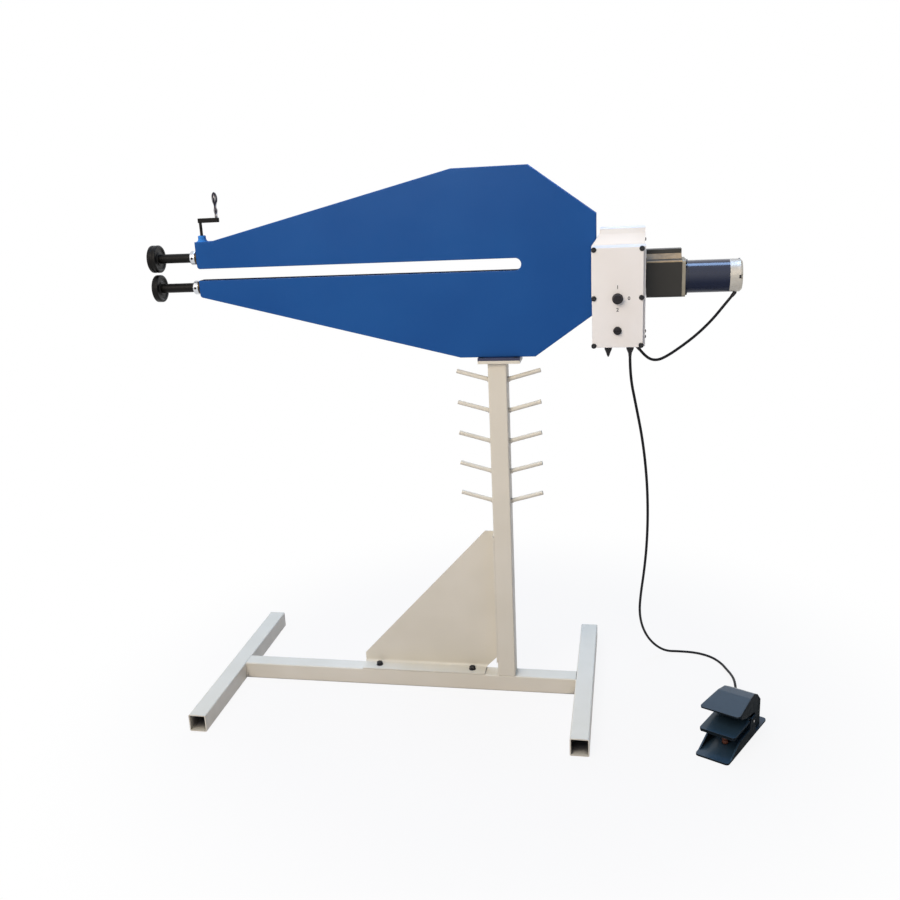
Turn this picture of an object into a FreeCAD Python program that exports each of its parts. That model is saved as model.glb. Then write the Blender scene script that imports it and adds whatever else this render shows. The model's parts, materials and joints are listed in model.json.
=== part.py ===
import FreeCAD, Part
import math
import os

# Motorised deep-throat bead roller on a floor stand, with a foot switch.
# Millimetres. Origin on the floor under the post; +X towards the motor, -Y towards the operator, +Z up.

V = FreeCAD.Vector
X_AXIS = V(1, 0, 0)
Y_AXIS = V(0, 1, 0)
Z_AXIS = V(0, 0, 1)

# ---- stand ----
TUBE = 50.0                  # outside width of every square tube
TUBE_WALL = 3.0
TUBE_CORNER = 4.0            # outer corner radius of the tube
FOOT_LENGTH = 660.0
LEFT_FOOT_X = -825.0         # tube centre lines
RIGHT_FOOT_X = 222.0
POST_TOP_Z = 965.0
PLATE_LENGTH = 111.0         # top plate and base flange, along X
PLATE_WIDTH = 70.0
PLATE_OFFSET_X = 6.0         # the plate sits a little towards the motor
TOP_PLATE_T = 8.0
BASE_FLANGE_T = 7.0
FLANGE_SCREW_R = 4.0         # four countersunk M8 screws, flange to plate
FLANGE_SCREW_HEAD_R = 7.5
FLANGE_SCREW_INSET_X = 12.0
FLANGE_SCREW_INSET_Y = 7.8
PEG_D = 12.0                 # pegs that carry spare dies
PEG_LENGTH = 90.0
PEG_COLLAR_R = 7.5           # weld collar round each root
PEG_COLLAR_T = 4.0
PEG_TILT = 15.5              # degrees above level
PEG_TOP_Z = 917.0            # root of the highest peg
PEG_PITCH = 85.0
PEGS_PER_SIDE = 5
GUSSET_T = 3.0
GUSSET_LENGTH = 406.0        # along the beam, from the post's left face
GUSSET_HEIGHT = 428.0        # above the beam
GUSSET_EDGE = 30.0           # short edges left at both ends of the slope
GUSSET_BEND_R = 12.0
GUSSET_RELIEF = 42.0         # corner cut beside the post
GUSSET_BOLT_INSET = (47.0, 37.0)   # from the left and right ends of the bottom flange
BOLT_R = 4.0                 # M8 button-head bolts
BOLT_HEAD_R = 7.5
BOLT_HEAD_H = 5.0

# ---- frame box ----
FRAME_T = 40.0               # over both side plates
FRAME_PLATE = 3.0            # side plates, rim and slot liner
FRAME_EDGE_R = 2.0
FRAME_RISE = 276.5           # flat top, above the lower shaft
FRAME_TOP_X = (-103.0, 88.0)
FRAME_BACK_X = 257.0         # vertical rear edge, motor side
FRAME_BACK_RISE = (-93.0, 152.0)   # ends of the rear edge, above the lower shaft
FRAME_BOTTOM_X = (-96.0, 101.0)
NOSE_X = -810.0
NOSE_RISE = 122.0            # level top of the upper nose, above the lower shaft
NOSE_FLAT = 45.0
NOSE_BLEND_R = 60.0
NOSE_DROP = 25.0             # lower nose, below the lower shaft
NOSE_CORNER_R = 8.0
SLOT_RISE = (19.5, 50.5)     # throat slot, above the lower shaft
SLOT_END_X = 69.0

# ---- shafts, bearings and gears ----
LOWER_SHAFT_Z = 1183.0
SHAFT_R = 12.5
RUN = 0.05                   # radial running clearance
SIDE_GAP = 0.4               # clearance beside sliding and turning pieces
MODULE = 1.5
TEETH = 49
TOOTH_BACKLASH = 0.35        # thinning of each tooth at the pitch circle
GEAR_WIDTH = 16.0
GEAR_GAP = 7.0               # bearing block to gear
HUB_R = 19.0
HUB_LENGTH = 10.0
SHAFT_END_GAP = 8.0          # lower shaft to the housing's right wall
DIE_X = -935.0               # middle of both dies
DIE_R = 37.0
UPPER_DIE_WIDTH = 24.0
LOWER_DIE_WIDTH = 17.0
DIE_RIM_R = 3.0
DIE_GROOVE_R = 4.0           # half-round groove of the upper die
DIE_GROOVE_DEPTH = 2.2
DIE_WEB_INSET = 2.5          # shallow recess in both faces of a die
DIE_HUB_R = 17.0
DIE_RIM_T = 7.0
SEAT_R = 11.0                # shaft end that carries the die
DIE_GAP = 6.0                # between the dies as the crank is set
DIE_NUT_AF = 24.0
DIE_NUT_T = 9.0
SEAT_END = 3.0               # thread showing past the nut
COLLAR_R = 19.0
COLLAR_W = 15.0
COLLAR_EASE = 3.0
COLLAR_X = -830.5            # left face of both collars
SET_SCREW_R = 3.5
SET_SCREW_DEPTH = 5.0
BLOCK_LENGTH = 23.0          # nose bearing blocks, along X
BLOCK_BELOW = 19.0           # nose blocks, shaft axis to underside and to top
BLOCK_ABOVE = 22.0
BUSH_R = 15.0
BUSH_FLANGE_R = 18.5
BUSH_FLANGE_T = 3.5
NOSE_GAP = 1.0               # block to the nose wall
TRAVEL = 6.0                 # of the upper block, each way
BEARING_BLOCK_T = 40.0
BEARING_BLOCK_W = 56.0
BEARING_BLOCK_FOOT = 40.0    # below the lower shaft
BEARING_BLOCK_HEAD = 33.0    # above the upper shaft
RACE_R = 21.0
RACE_W = 24.0
BALL_R = 18.5
BLOCK_BOLT_Y = 10.0
BLOCK_BOLT_DROP = 30.0       # lower pair of bolts, below the lower shaft

# ---- crank ----
CRANK_STEM_R = 4.0
SCREW_R = 6.0
SCREW_CLEARANCE = 0.5        # the screw leans a little as the block rises
SCREW_SEAT = 3.5             # depth of the screw's tip in the block
BOSS_TOP_R = 10.5
BOSS_FOOT_R = 17.5
BOSS_HEIGHT = 16.0
CRANK_ARM_RISE = 55.0        # arm's middle above the nose
CRANK_ARM_LENGTH = 48.0
CRANK_ARM_T = 12.0
CRANK_ARM_R = 6.5
GRIP_PIN_R = 2.5
GRIP_HEIGHT = 66.0

# ---- gear housing ----
HOUSING_RIGHT_X = 376.0
HOUSING_WALL = 1.5
MOTOR_WALL = 6.0             # right wall, which carries the gearbox
HOUSING_HALF_W = 45.0
HOUSING_OVERLAP = 11.0       # the housing's left side reaches over the frame's rear edge
HOUSING_DROP = 58.0          # underside, below the lower shaft
HOUSING_SHOULDER_DROP = 40.5 # foot of the bevels, below the top
HEADROOM = 1.25              # over the upper gear's teeth
HOUSING_BEVEL_X = 20.0
HOUSING_BEVEL_Y = 7.0
HOUSING_BEVEL_H = 28.0
COVER_SCREW_R = 2.5
COVER_SCREW_HEAD_R = 4.5
COVER_SCREW_INSET = 7.0

# ---- control box ----
BOX_LEFT_X = 250.0
BOX_WIDTH = 122.0            # of the lid
BASE_EXTRA = 5.0             # the base reaches further to the right than the lid
BOX_HEIGHT = 240.0
BOX_DROP = 164.0             # underside, below the lower shaft
BOX_DEPTH = 80.0
BOX_WALL = 3.0
LID_DEPTH = 12.0
LID_SCREW_R = 6.3
LID_SCREW_H = 3.0
LID_SCREW_INSET = 4.4
KNOB_RISE = 118.5            # above the box's underside
KNOB_R = 13.0
KNOB_H = 15.0
SPINDLE_R = 3.0
SWITCH_SIZE = 36.0
SWITCH_DEPTH = 34.0
FUSE_RISE = 41.0
FUSE_CAP_R = 10.0
FUSE_CAP_H = 8.0
FUSE_BODY_R = 6.5
FUSE_BODY_L = 30.0
GLAND_R = 9.2
GLAND_LENGTH = 24.0
GLAND_HEX_R = 8.2
RELIEF_R = 6.0               # the three small cable entries: round base and body
RELIEF_BODY_R = 4.8
RELIEF_STEM = 6.0            # straight part, from the seat to the bend
RELIEF_NOSE = 11.0           # tapering nose that leans with the cable
RELIEF_LEAN = 38.0           # degrees, both ends of the motor cable
GLAND_Y = -72.0
MAINS_GLAND_X = 288.0
PEDAL_GLAND_X = 341.5
MOTOR_GLAND_X = 358.0

# ---- gearbox and motor ----
MOTOR_DROP = 11.0            # gearbox and motor axis, below the lower shaft
PILOT_R = 38.0
PILOT_T = 4.0
GEARBOX_SIZE = 90.0
GEARBOX_LENGTH = 85.0
GEARBOX_EDGE_R = 7.0
LOBE_HEIGHT = 23.0           # gear bulge on top, towards the back
LOBE_FRONT_Y = 6.0
LOBE_SLOPE = 12.0
MOTOR_FLANGE_T = 8.0
MOTOR_RING_R = 43.0
MOTOR_RING_T = 6.0
MOTOR_R = 40.0
MOTOR_LENGTH = 100.0
CAP_LENGTH = 30.0
CAP_CHAMFER = 5.0
OUTPUT_SHAFT_R = 8.0
OUTPUT_SHAFT_SEAT = 28.0     # length held in the lower shaft
OUTPUT_SHAFT_GRIP = 14.0     # length inside the gearbox
MOTOR_SCREW_R = 4.0
MOTOR_SCREW_INSET = 8.0
CAP_NOTCH_R = 5.0            # screw pockets in the end cap's rim
CAP_NOTCH_DEPTH = 9.0
CAP_NOTCH_INSET = 3.0        # pocket's middle, from the cap's rim
CAP_GLAND_SINK = 3.0         # the end cap's gland sits in a flat pocket

# ---- cords ----
CORD_R = 3.5
# Route of the foot switch cord, gland to pedal: one point for each change of direction.
PEDAL_CORD = [
    (341.5, -72.0, 995.0), (341.5, -72.0, 940.0), (357.0, -60.0, 860.0), (375.0, -44.0, 765.0),
    (387.0, -26.0, 660.0), (392.0, -2.0, 555.0), (391.0, 24.0, 450.0), (385.0, 54.0, 355.0),
    (377.0, 90.0, 270.0), (374.0, 132.0, 192.0), (385.0, 178.0, 118.0), (411.0, 219.0, 54.0),
    (452.0, 249.0, 10.0), (500.0, 262.0, 4.2), (549.0, 258.0, 4.0), (591.0, 235.0, 4.0),
    (616.0, 197.0, 4.5), (627.0, 148.0, 11.0), (634.0, 98.0, 23.0), (637.0, 48.0, 35.0),
    (636.0, -2.0, 43.0), (632.13, -47.85, 46.0), (632.13, -69.85, 46.0)]
# Route of the motor cable, box gland to the motor's end cap.
MOTOR_CABLE = [
    (364.77, -72.0, 1004.33), (381.5, -72.0, 982.9), (405.0, -69.0, 974.5), (429.0, -62.0, 982.5),
    (464.0, -51.0, 1004.0), (504.0, -37.0, 1032.5), (541.0, -18.0, 1065.5), (570.0, 0.0, 1098.3),
    (587.23, 0.0, 1120.33)]

# ---- foot switch, in its own axes: x to the right, y to the back, origin at the middle of its front edge ----
PEDAL_X = 547.0
PEDAL_Y = -314.0
PEDAL_TURN = -27.7           # degrees about Z
PEDAL_WIDTH = 88.0
PEDAL_FRONT_Y = 4.0
PEDAL_BACK_Y = 262.0
PEDAL_BASE_T = 5.0
PEDAL_CORNER_R = 9.0
CHEEK_T = 4.0                # side cheeks, which rise to the back and carry the treadle's pin
CHEEK_FRONT_Y = 24.0
CHEEK_RAMP = (54.0, 25.0)    # run and rise of the cheek's front slope
CHEEK_EAR = (12.0, 16.0)     # pin to the front and to the back of the ear
EAR_TOP = 10.0               # above the pin
TREADLE_PIN_Y = 162.0
TREADLE_PIN_Z = 48.0
TREADLE_PIN_R = 3.0
PIN_END = 3.0                # pin showing beyond each cheek
TREADLE_WIDTH = 94.0
TREADLE_FRONT_Y = 32.0
TREADLE_TOP_Z = 64.0
TREADLE_BEND_Y = 134.0       # where the level plate bends down to its pin
TREADLE_BOSS_R = 7.0
TREADLE_T = 5.0
TREADLE_LIP = 3.0
BUFFER_Y = 90.0
BUFFER_R = 8.0
HOOD_T = 4.0
HOOD_FRONT_Y = 44.0
HOOD_FRONT_Z = 118.0
HOOD_RIDGE_Y = 140.0
HOOD_RIDGE_Z = 123.0
HOOD_BACK_Y = 240.0
HOOD_BACK_Z = 66.0           # top of the upright back wall
HOOD_SHOULDER_Y = 205.0
HOOD_SHOULDER_Z = 103.0
HOOD_FRONT_W = 104.0
HOOD_WAIST_W = 88.0
HOOD_BACK_W = 74.0
HOOD_WALL = [(64.0, 103.0), (107.0, 84.0), (163.0, 69.0), (186.0, 60.0), (200.0, 30.0)]   # sides' lower edge
HOOD_WALL_TOP_Y = 58.0       # where the sides' lower edge leaves the visor
HOOD_WALL_FOOT_Y = 204.0
PEDAL_SWITCH_Y = (104.0, 128.0)
PEDAL_SWITCH_WIDTH = 20.0
PEDAL_SWITCH_TOP = 45.5
SWITCH_BUTTON_H = 2.5
PEDAL_GLAND_LOCAL_X = -33.0
PEDAL_GLAND_Z = 46.0

# ---- worked out from the above ----
HALF = TUBE / 2
HALF_T = FRAME_T / 2
PLATE_MID_X = PLATE_OFFSET_X
FLANGE_Z = POST_TOP_Z + TOP_PLATE_T
FRAME_BOTTOM_Z = FLANGE_Z + BASE_FLANGE_T
GEAR_DISTANCE = MODULE * TEETH
GEAR_TIP_R = MODULE * (TEETH + 2) / 2
GEAR_ROOT_R = MODULE * (TEETH - 2.5) / 2
FRAME_TOP_Z = LOWER_SHAFT_Z + FRAME_RISE
FRAME_BACK_Z = [LOWER_SHAFT_Z + rise for rise in FRAME_BACK_RISE]
NOSE_TOP_Z = LOWER_SHAFT_Z + NOSE_RISE
LOWER_NOSE_Z = LOWER_SHAFT_Z - NOSE_DROP
SLOT_Z = [LOWER_SHAFT_Z + rise for rise in SLOT_RISE]
CRANK_ARM_Z = NOSE_TOP_Z + CRANK_ARM_RISE
BLOCK_X = FRAME_BACK_X + HOUSING_WALL
BLOCK_END_X = BLOCK_X + BEARING_BLOCK_T
BALL_X = BLOCK_END_X - RACE_W / 2
GEAR_X = BLOCK_END_X + GEAR_GAP
UPPER_REAR_Z = LOWER_SHAFT_Z + GEAR_DISTANCE
UPPER_DIE_Z = LOWER_SHAFT_Z + 2 * DIE_R + DIE_GAP
UPPER_TILT = math.atan2(UPPER_DIE_Z - UPPER_REAR_Z, BALL_X - DIE_X)
BALL_CENTRE = V(BALL_X, 0, UPPER_REAR_Z)
NOSE_BLOCK_X = NOSE_X + FRAME_PLATE + NOSE_GAP
CRANK_X = NOSE_BLOCK_X + BLOCK_LENGTH / 2
UPPER_NOSE_Z = UPPER_REAR_Z + (BALL_X - CRANK_X) * math.tan(UPPER_TILT)
SCREW_TIP_Z = UPPER_NOSE_Z + BLOCK_ABOVE - SCREW_SEAT
HOUSING_LEFT_X = FRAME_BACK_X - HOUSING_OVERLAP
HOUSING_BOTTOM_Z = LOWER_SHAFT_Z - HOUSING_DROP
HOUSING_TOP_Z = UPPER_REAR_Z + GEAR_TIP_R + HEADROOM + HOUSING_WALL
HOUSING_SHOULDER_Z = HOUSING_TOP_Z - HOUSING_SHOULDER_DROP
BEVEL_TOP_Y = -HOUSING_HALF_W + HOUSING_BEVEL_Y
BOX_BOTTOM_Z = LOWER_SHAFT_Z - BOX_DROP
KNOB_Z = BOX_BOTTOM_Z + KNOB_RISE
FUSE_Z = BOX_BOTTOM_Z + FUSE_RISE
MOTOR_Z = LOWER_SHAFT_Z - MOTOR_DROP
BOX_FRONT_Y = -HOUSING_HALF_W - BOX_DEPTH
BOX_MID_X = BOX_LEFT_X + BOX_WIDTH / 2
PILOT_X = HOUSING_RIGHT_X
GEARBOX_X = PILOT_X + PILOT_T
MOTOR_FLANGE_X = GEARBOX_X + GEARBOX_LENGTH
MOTOR_RING_X = MOTOR_FLANGE_X + MOTOR_FLANGE_T
MOTOR_X = MOTOR_RING_X + MOTOR_RING_T
CAP_X = MOTOR_X + MOTOR_LENGTH
CAP_GLAND_X = CAP_X + CAP_LENGTH / 2
LOWER_SHAFT_END_X = HOUSING_RIGHT_X - MOTOR_WALL - SHAFT_END_GAP


def block(x, y, z):
    """Box from three (low, high) pairs."""
    return Part.makeBox(x[1] - x[0], y[1] - y[0], z[1] - z[0], V(x[0], y[0], z[0]))


def rod(start, direction, radius, length):
    """Cylinder from a start point along a direction."""
    return Part.makeCylinder(radius, length, start, direction)


def prism(points, direction):
    """Solid from a closed outline pushed along a direction."""
    outline = Part.makePolygon(list(points) + [points[0]])
    return Part.Face(outline).extrude(direction)


def turned(profile, start, direction):
    """Solid of revolution: profile is (radius, distance along the axis) pairs from the axis outwards and back."""
    points = [V(radius, 0, along) for radius, along in profile]
    outline = Part.makePolygon(points + [points[0]])
    solid = Part.Face(outline).revolve(V(0, 0, 0), Z_AXIS, 360)
    solid.Placement = FreeCAD.Placement(start, FreeCAD.Rotation(Z_AXIS, direction))
    return solid


def hexagon(start, direction, across_flats, length):
    """Hexagonal prism for nuts and bolt heads."""
    radius = across_flats / math.sqrt(3)
    corners = [V(radius * math.cos(math.radians(60 * i)), radius * math.sin(math.radians(60 * i)), 0)
               for i in range(6)]
    solid = prism(corners, V(0, 0, length))
    solid.Placement = FreeCAD.Placement(start, FreeCAD.Rotation(Z_AXIS, direction))
    return solid


def leaned(shape):
    """Turns a piece that was made level about the rear bearing, to the upper shaft's slope."""
    placed = shape.copy()
    placed.rotate(BALL_CENTRE, Y_AXIS, math.degrees(UPPER_TILT))
    return placed


def group(shapes):
    """Several separate solids of one kind, kept in one file."""
    return Part.makeCompound(shapes)


def save(shape, node):
    shape.exportStep("parts/" + node + ".step")


# ---------------------------------------------------------------- stand

def rounded_section(size, radius):
    """Square wire about the origin in the XY plane with rounded corners."""
    flat = Part.makePlane(size, size, V(-size / 2, -size / 2, 0))
    solid = flat.extrude(V(0, 0, 1))
    upright = [e for e in solid.Edges if abs(e.tangentAt(e.FirstParameter).z) > 0.9]
    rounded = solid.makeFillet(radius, upright)
    bottom = [f for f in rounded.Faces if abs(f.CenterOfMass.z) < 1e-6]
    return bottom[0].OuterWire


def square_tube(start, direction, length):
    outer = Part.Face(rounded_section(TUBE, TUBE_CORNER)).extrude(V(0, 0, length))
    inner_corner = max(TUBE_CORNER - TUBE_WALL, 0.5)
    inner = Part.Face(rounded_section(TUBE - 2 * TUBE_WALL, inner_corner)).extrude(V(0, 0, length))
    tube = outer.cut(inner)
    tube.Placement = FreeCAD.Placement(start, FreeCAD.Rotation(Z_AXIS, direction))
    return tube


def foot(x):
    return square_tube(V(x, -FOOT_LENGTH / 2, HALF), Y_AXIS, FOOT_LENGTH)


def cross_beam():
    left = LEFT_FOOT_X + HALF
    beam = square_tube(V(left, 0, HALF), X_AXIS, RIGHT_FOOT_X - HALF - left)
    for x in gusset_bolt_places():
        beam = beam.cut(rod(V(x, 0, TUBE - 2 * TUBE_WALL), Z_AXIS, BOLT_R, 3 * TUBE_WALL))
    return beam


def post():
    return square_tube(V(0, 0, TUBE), Z_AXIS, POST_TOP_Z - TUBE)


def flange_screw_places():
    dx = PLATE_LENGTH / 2 - FLANGE_SCREW_INSET_X
    dy = PLATE_WIDTH / 2 - FLANGE_SCREW_INSET_Y
    return [(PLATE_MID_X + sx * dx, sy * dy) for sx in (-1, 1) for sy in (-1, 1)]


def plate(z, thickness):
    return block((PLATE_MID_X - PLATE_LENGTH / 2, PLATE_MID_X + PLATE_LENGTH / 2),
                 (-PLATE_WIDTH / 2, PLATE_WIDTH / 2), (z, z + thickness))


def flange_screw(x, y, extra):
    """Countersunk screw, or with some extra radius the hole for it."""
    top = FRAME_BOTTOM_Z
    head = FLANGE_SCREW_HEAD_R - FLANGE_SCREW_R
    return turned([(0, 0), (FLANGE_SCREW_HEAD_R + extra, 0), (FLANGE_SCREW_R + extra, -head),
                   (FLANGE_SCREW_R + extra, -BASE_FLANGE_T - TOP_PLATE_T),
                   (0, -BASE_FLANGE_T - TOP_PLATE_T)], V(x, y, top), Z_AXIS)


def post_top_plate():
    shape = plate(POST_TOP_Z, TOP_PLATE_T)
    for x, y in flange_screw_places():
        shape = shape.cut(flange_screw(x, y, 0))
    return shape


def frame_base_flange():
    shape = plate(FLANGE_Z, BASE_FLANGE_T)
    for x, y in flange_screw_places():
        shape = shape.cut(flange_screw(x, y, 0))
    return shape


def flange_screws():
    screws = []
    for x, y in flange_screw_places():
        socket = hexagon(V(x, y, FRAME_BOTTOM_Z - 2.5), Z_AXIS, 5, 3)
        screws.append(flange_screw(x, y, 0).cut(socket))
    return group(screws)


def tool_pegs():
    """Round pegs welded to both sides of the post, sloping up so that dies stay on."""
    tilt = math.radians(PEG_TILT)
    pegs = []
    post_block = block((-HALF, HALF), (-HALF, HALF), (TUBE, POST_TOP_Z))
    for side in (-1, 1):
        direction = V(side * math.cos(tilt), 0, math.sin(tilt))
        for i in range(PEGS_PER_SIDE):
            root = V(side * HALF, 0, PEG_TOP_Z - i * PEG_PITCH)
            back = root - direction * PEG_D
            peg = rod(back, direction, PEG_D / 2, PEG_LENGTH + PEG_D)
            peg = peg.fuse(rod(back, direction, PEG_COLLAR_R, PEG_COLLAR_T + PEG_D))
            pegs.append(peg.cut(post_block).Solids[0])
    return group(pegs)


def gusset_bolt_places():
    left = -HALF - GUSSET_LENGTH
    right = -HALF - GUSSET_RELIEF
    return [left + GUSSET_BOLT_INSET[0], right - GUSSET_BOLT_INSET[1]]


def gusset_plate():
    """Folded sheet behind the beam's middle: a web with a flange on the beam and one against the post."""
    web_y = (HALF - GUSSET_T, HALF)
    left = -HALF - GUSSET_LENGTH
    top = TUBE + GUSSET_HEIGHT
    bend = GUSSET_BEND_R
    outline = [V(left, 0, TUBE), V(left, 0, TUBE + GUSSET_EDGE), V(-HALF - GUSSET_EDGE, 0, top),
               V(-HALF, 0, top), V(-HALF, 0, TUBE + GUSSET_RELIEF), V(-HALF - GUSSET_RELIEF, 0, TUBE)]
    silhouette = prism(outline, V(0, TUBE, 0))
    silhouette.translate(V(0, -HALF, 0))

    # the folded sheet: everything within one sheet thickness of the web, the beam and the post
    hollow = block((left - 1, -HALF - GUSSET_T), (-HALF - 1, web_y[0]), (TUBE + GUSSET_T, top + 1))
    inner_edges = [e for e in hollow.Edges
                   if (abs(e.CenterOfMass.y - web_y[0]) < 1e-6 and abs(e.CenterOfMass.z - TUBE - GUSSET_T) < 1e-6)
                   or (abs(e.CenterOfMass.y - web_y[0]) < 1e-6 and abs(e.CenterOfMass.x + HALF + GUSSET_T) < 1e-6)]
    hollow = hollow.makeFillet(bend - GUSSET_T, inner_edges)
    folded = silhouette.cut(hollow)
    outside = block((left - 1, -HALF), (-HALF - 1, HALF), (TUBE, top + 1))
    outer_edges = [e for e in outside.Edges
                   if (abs(e.CenterOfMass.y - HALF) < 1e-6 and abs(e.CenterOfMass.z - TUBE) < 1e-6)
                   or (abs(e.CenterOfMass.y - HALF) < 1e-6 and abs(e.CenterOfMass.x + HALF) < 1e-6)]
    folded = folded.common(outside.makeFillet(bend, outer_edges))
    for x in gusset_bolt_places():
        folded = folded.cut(rod(V(x, 0, TUBE - 1), Z_AXIS, BOLT_R, GUSSET_T + 2))
    return folded


def button_bolt(seat, direction, grip):
    """M8 button-head bolt: head on the seat, shank against the direction for the grip's length."""
    shank = rod(seat - direction * grip, direction, BOLT_R, grip)
    head = turned([(0, 0), (BOLT_HEAD_R, 0), (BOLT_HEAD_R, BOLT_HEAD_H * 0.4), (BOLT_HEAD_R * 0.8, BOLT_HEAD_H * 0.8),
                   (BOLT_HEAD_R * 0.45, BOLT_HEAD_H), (0, BOLT_HEAD_H)], seat, direction)
    socket = hexagon(seat + direction * (BOLT_HEAD_H - 3), direction, 5, 4)
    return shank.fuse(head).cut(socket).Solids[0]


def frame_bolts():
    """Two bolts hold the gusset on the beam and four hold the rear bearing block on the frame."""
    beam_grip = GUSSET_T + TUBE_WALL + 8
    bolts = [button_bolt(V(x, 0, TUBE + GUSSET_T), Z_AXIS, beam_grip) for x in gusset_bolt_places()]
    block_grip = BEARING_BLOCK_T + HOUSING_WALL + FRAME_PLATE
    bolts += [button_bolt(V(BLOCK_END_X, y, z), X_AXIS, block_grip) for y, z in bearing_bolt_places()]
    return group(bolts)


# ---------------------------------------------------------------- frame box

def frame_outline(inset, half_thickness):
    """Solid of the frame's silhouette without the slot, moved in by an inset, between +/- half_thickness."""
    corners = [V(NOSE_X, 0, LOWER_NOSE_Z), V(NOSE_X, 0, NOSE_TOP_Z), V(NOSE_X + NOSE_FLAT, 0, NOSE_TOP_Z),
               V(FRAME_TOP_X[0], 0, FRAME_TOP_Z), V(FRAME_TOP_X[1], 0, FRAME_TOP_Z),
               V(FRAME_BACK_X, 0, FRAME_BACK_Z[1]), V(FRAME_BACK_X, 0, FRAME_BACK_Z[0]),
               V(FRAME_BOTTOM_X[1], 0, FRAME_BOTTOM_Z), V(FRAME_BOTTOM_X[0], 0, FRAME_BOTTOM_Z)]
    solid = prism(corners, V(0, 2 * half_thickness, 0))
    solid.translate(V(0, -half_thickness, 0))
    across = [e for e in solid.Edges if abs(e.tangentAt(e.FirstParameter).y) > 0.9]

    def at(x, z):
        return [e for e in across if abs(e.CenterOfMass.x - x) < 1e-6 and abs(e.CenterOfMass.z - z) < 1e-6]

    solid = solid.makeFillet(NOSE_BLEND_R, at(NOSE_X + NOSE_FLAT, NOSE_TOP_Z))
    across = [e for e in solid.Edges if abs(e.tangentAt(e.FirstParameter).y) > 0.9]
    solid = solid.makeFillet(NOSE_CORNER_R, at(NOSE_X, LOWER_NOSE_Z))
    if inset == 0:
        return solid
    face = [f for f in solid.Faces if abs(f.CenterOfMass.y + half_thickness) < 1e-6][0]
    inner = face.OuterWire.makeOffset2D(-inset)
    return Part.Face(inner).extrude(V(0, 2 * half_thickness, 0))


def slot_solid(grow, half_thickness):
    """Throat slot with a round end, grown by the thickness of its liner, and open at the nose."""
    low = SLOT_Z[0] - grow
    high = SLOT_Z[1] + grow
    radius = (high - low) / 2
    middle = (high + low) / 2
    centre_x = SLOT_END_X - (SLOT_Z[1] - SLOT_Z[0]) / 2
    straight = block((NOSE_X - 1, centre_x), (-half_thickness, half_thickness), (low, high))
    end = rod(V(centre_x, -half_thickness, middle), Y_AXIS, radius, 2 * half_thickness)
    return straight.fuse(end)


def side_plate(front):
    """One side plate with its outer edges eased; front is True for the operator's side."""
    sheet = frame_outline(0, HALF_T).cut(slot_solid(0, HALF_T + 1))
    lip = [e for e in sheet.Edges if abs(e.CenterOfMass.x - NOSE_X) < 1e-6 and abs(e.CenterOfMass.z - SLOT_Z[1]) < 1e-6]
    sheet = sheet.makeFillet(NOSE_CORNER_R, lip)
    outer_y = -HALF_T if front else HALF_T
    keep = (-HALF_T, -HALF_T + FRAME_PLATE) if front else (HALF_T - FRAME_PLATE, HALF_T)
    sheet = sheet.common(block((NOSE_X - 10, FRAME_BACK_X + 10), keep, (FRAME_BOTTOM_Z - 10, FRAME_TOP_Z + 10)))
    face = [f for f in sheet.Faces if abs(f.CenterOfMass.y - outer_y) < 1e-6][0]
    return sheet.makeFillet(min(FRAME_EDGE_R, 0.8 * FRAME_PLATE), face.Edges)


def frame_rim():
    """Strip round the whole outline between the side plates, open at the nose for the blocks and the slot."""
    half = HALF_T - FRAME_PLATE
    rim = frame_outline(0, half).cut(frame_outline(FRAME_PLATE, half))
    rim = rim.cut(block((NOSE_X - 5, NOSE_X + 2 * FRAME_PLATE), (-half - 1, half + 1),
                        (SLOT_Z[0] - FRAME_PLATE, SLOT_Z[1] + NOSE_CORNER_R)))
    window = BUSH_R + NOSE_GAP
    rim = rim.cut(block((NOSE_X - 5, NOSE_X + FRAME_PLATE + 1), (-window, window),
                        (UPPER_NOSE_Z - TRAVEL - window, UPPER_NOSE_Z + TRAVEL + window)))
    rim = rim.cut(rod(V(NOSE_X - 5, 0, LOWER_SHAFT_Z), X_AXIS, BUSH_R, 10))
    screw_hole = SCREW_R + SCREW_CLEARANCE
    rim = rim.cut(rod(V(CRANK_X, 0, NOSE_TOP_Z - 10), Z_AXIS, screw_hole, 20))
    for z in (LOWER_SHAFT_Z, UPPER_REAR_Z):
        rim = rim.cut(rod(V(FRAME_BACK_X - 10, 0, z), X_AXIS, SHAFT_R + 2, 20))
    for y, z in bearing_bolt_places():
        rim = rim.cut(rod(V(FRAME_BACK_X - 10, y, z), X_AXIS, BOLT_R, 20))
    return rim


def slot_liner():
    """U-shaped strip that closes the box along the throat slot."""
    half = HALF_T - FRAME_PLATE
    strip = slot_solid(FRAME_PLATE, half).cut(slot_solid(0, half + 1))
    lower = block((NOSE_X, FRAME_BACK_X), (-half, half), (FRAME_BOTTOM_Z, SLOT_Z[0]))
    upper = block((NOSE_X + NOSE_CORNER_R, FRAME_BACK_X), (-half, half), (SLOT_Z[0], FRAME_TOP_Z))
    return strip.common(lower.fuse(upper))


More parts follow.
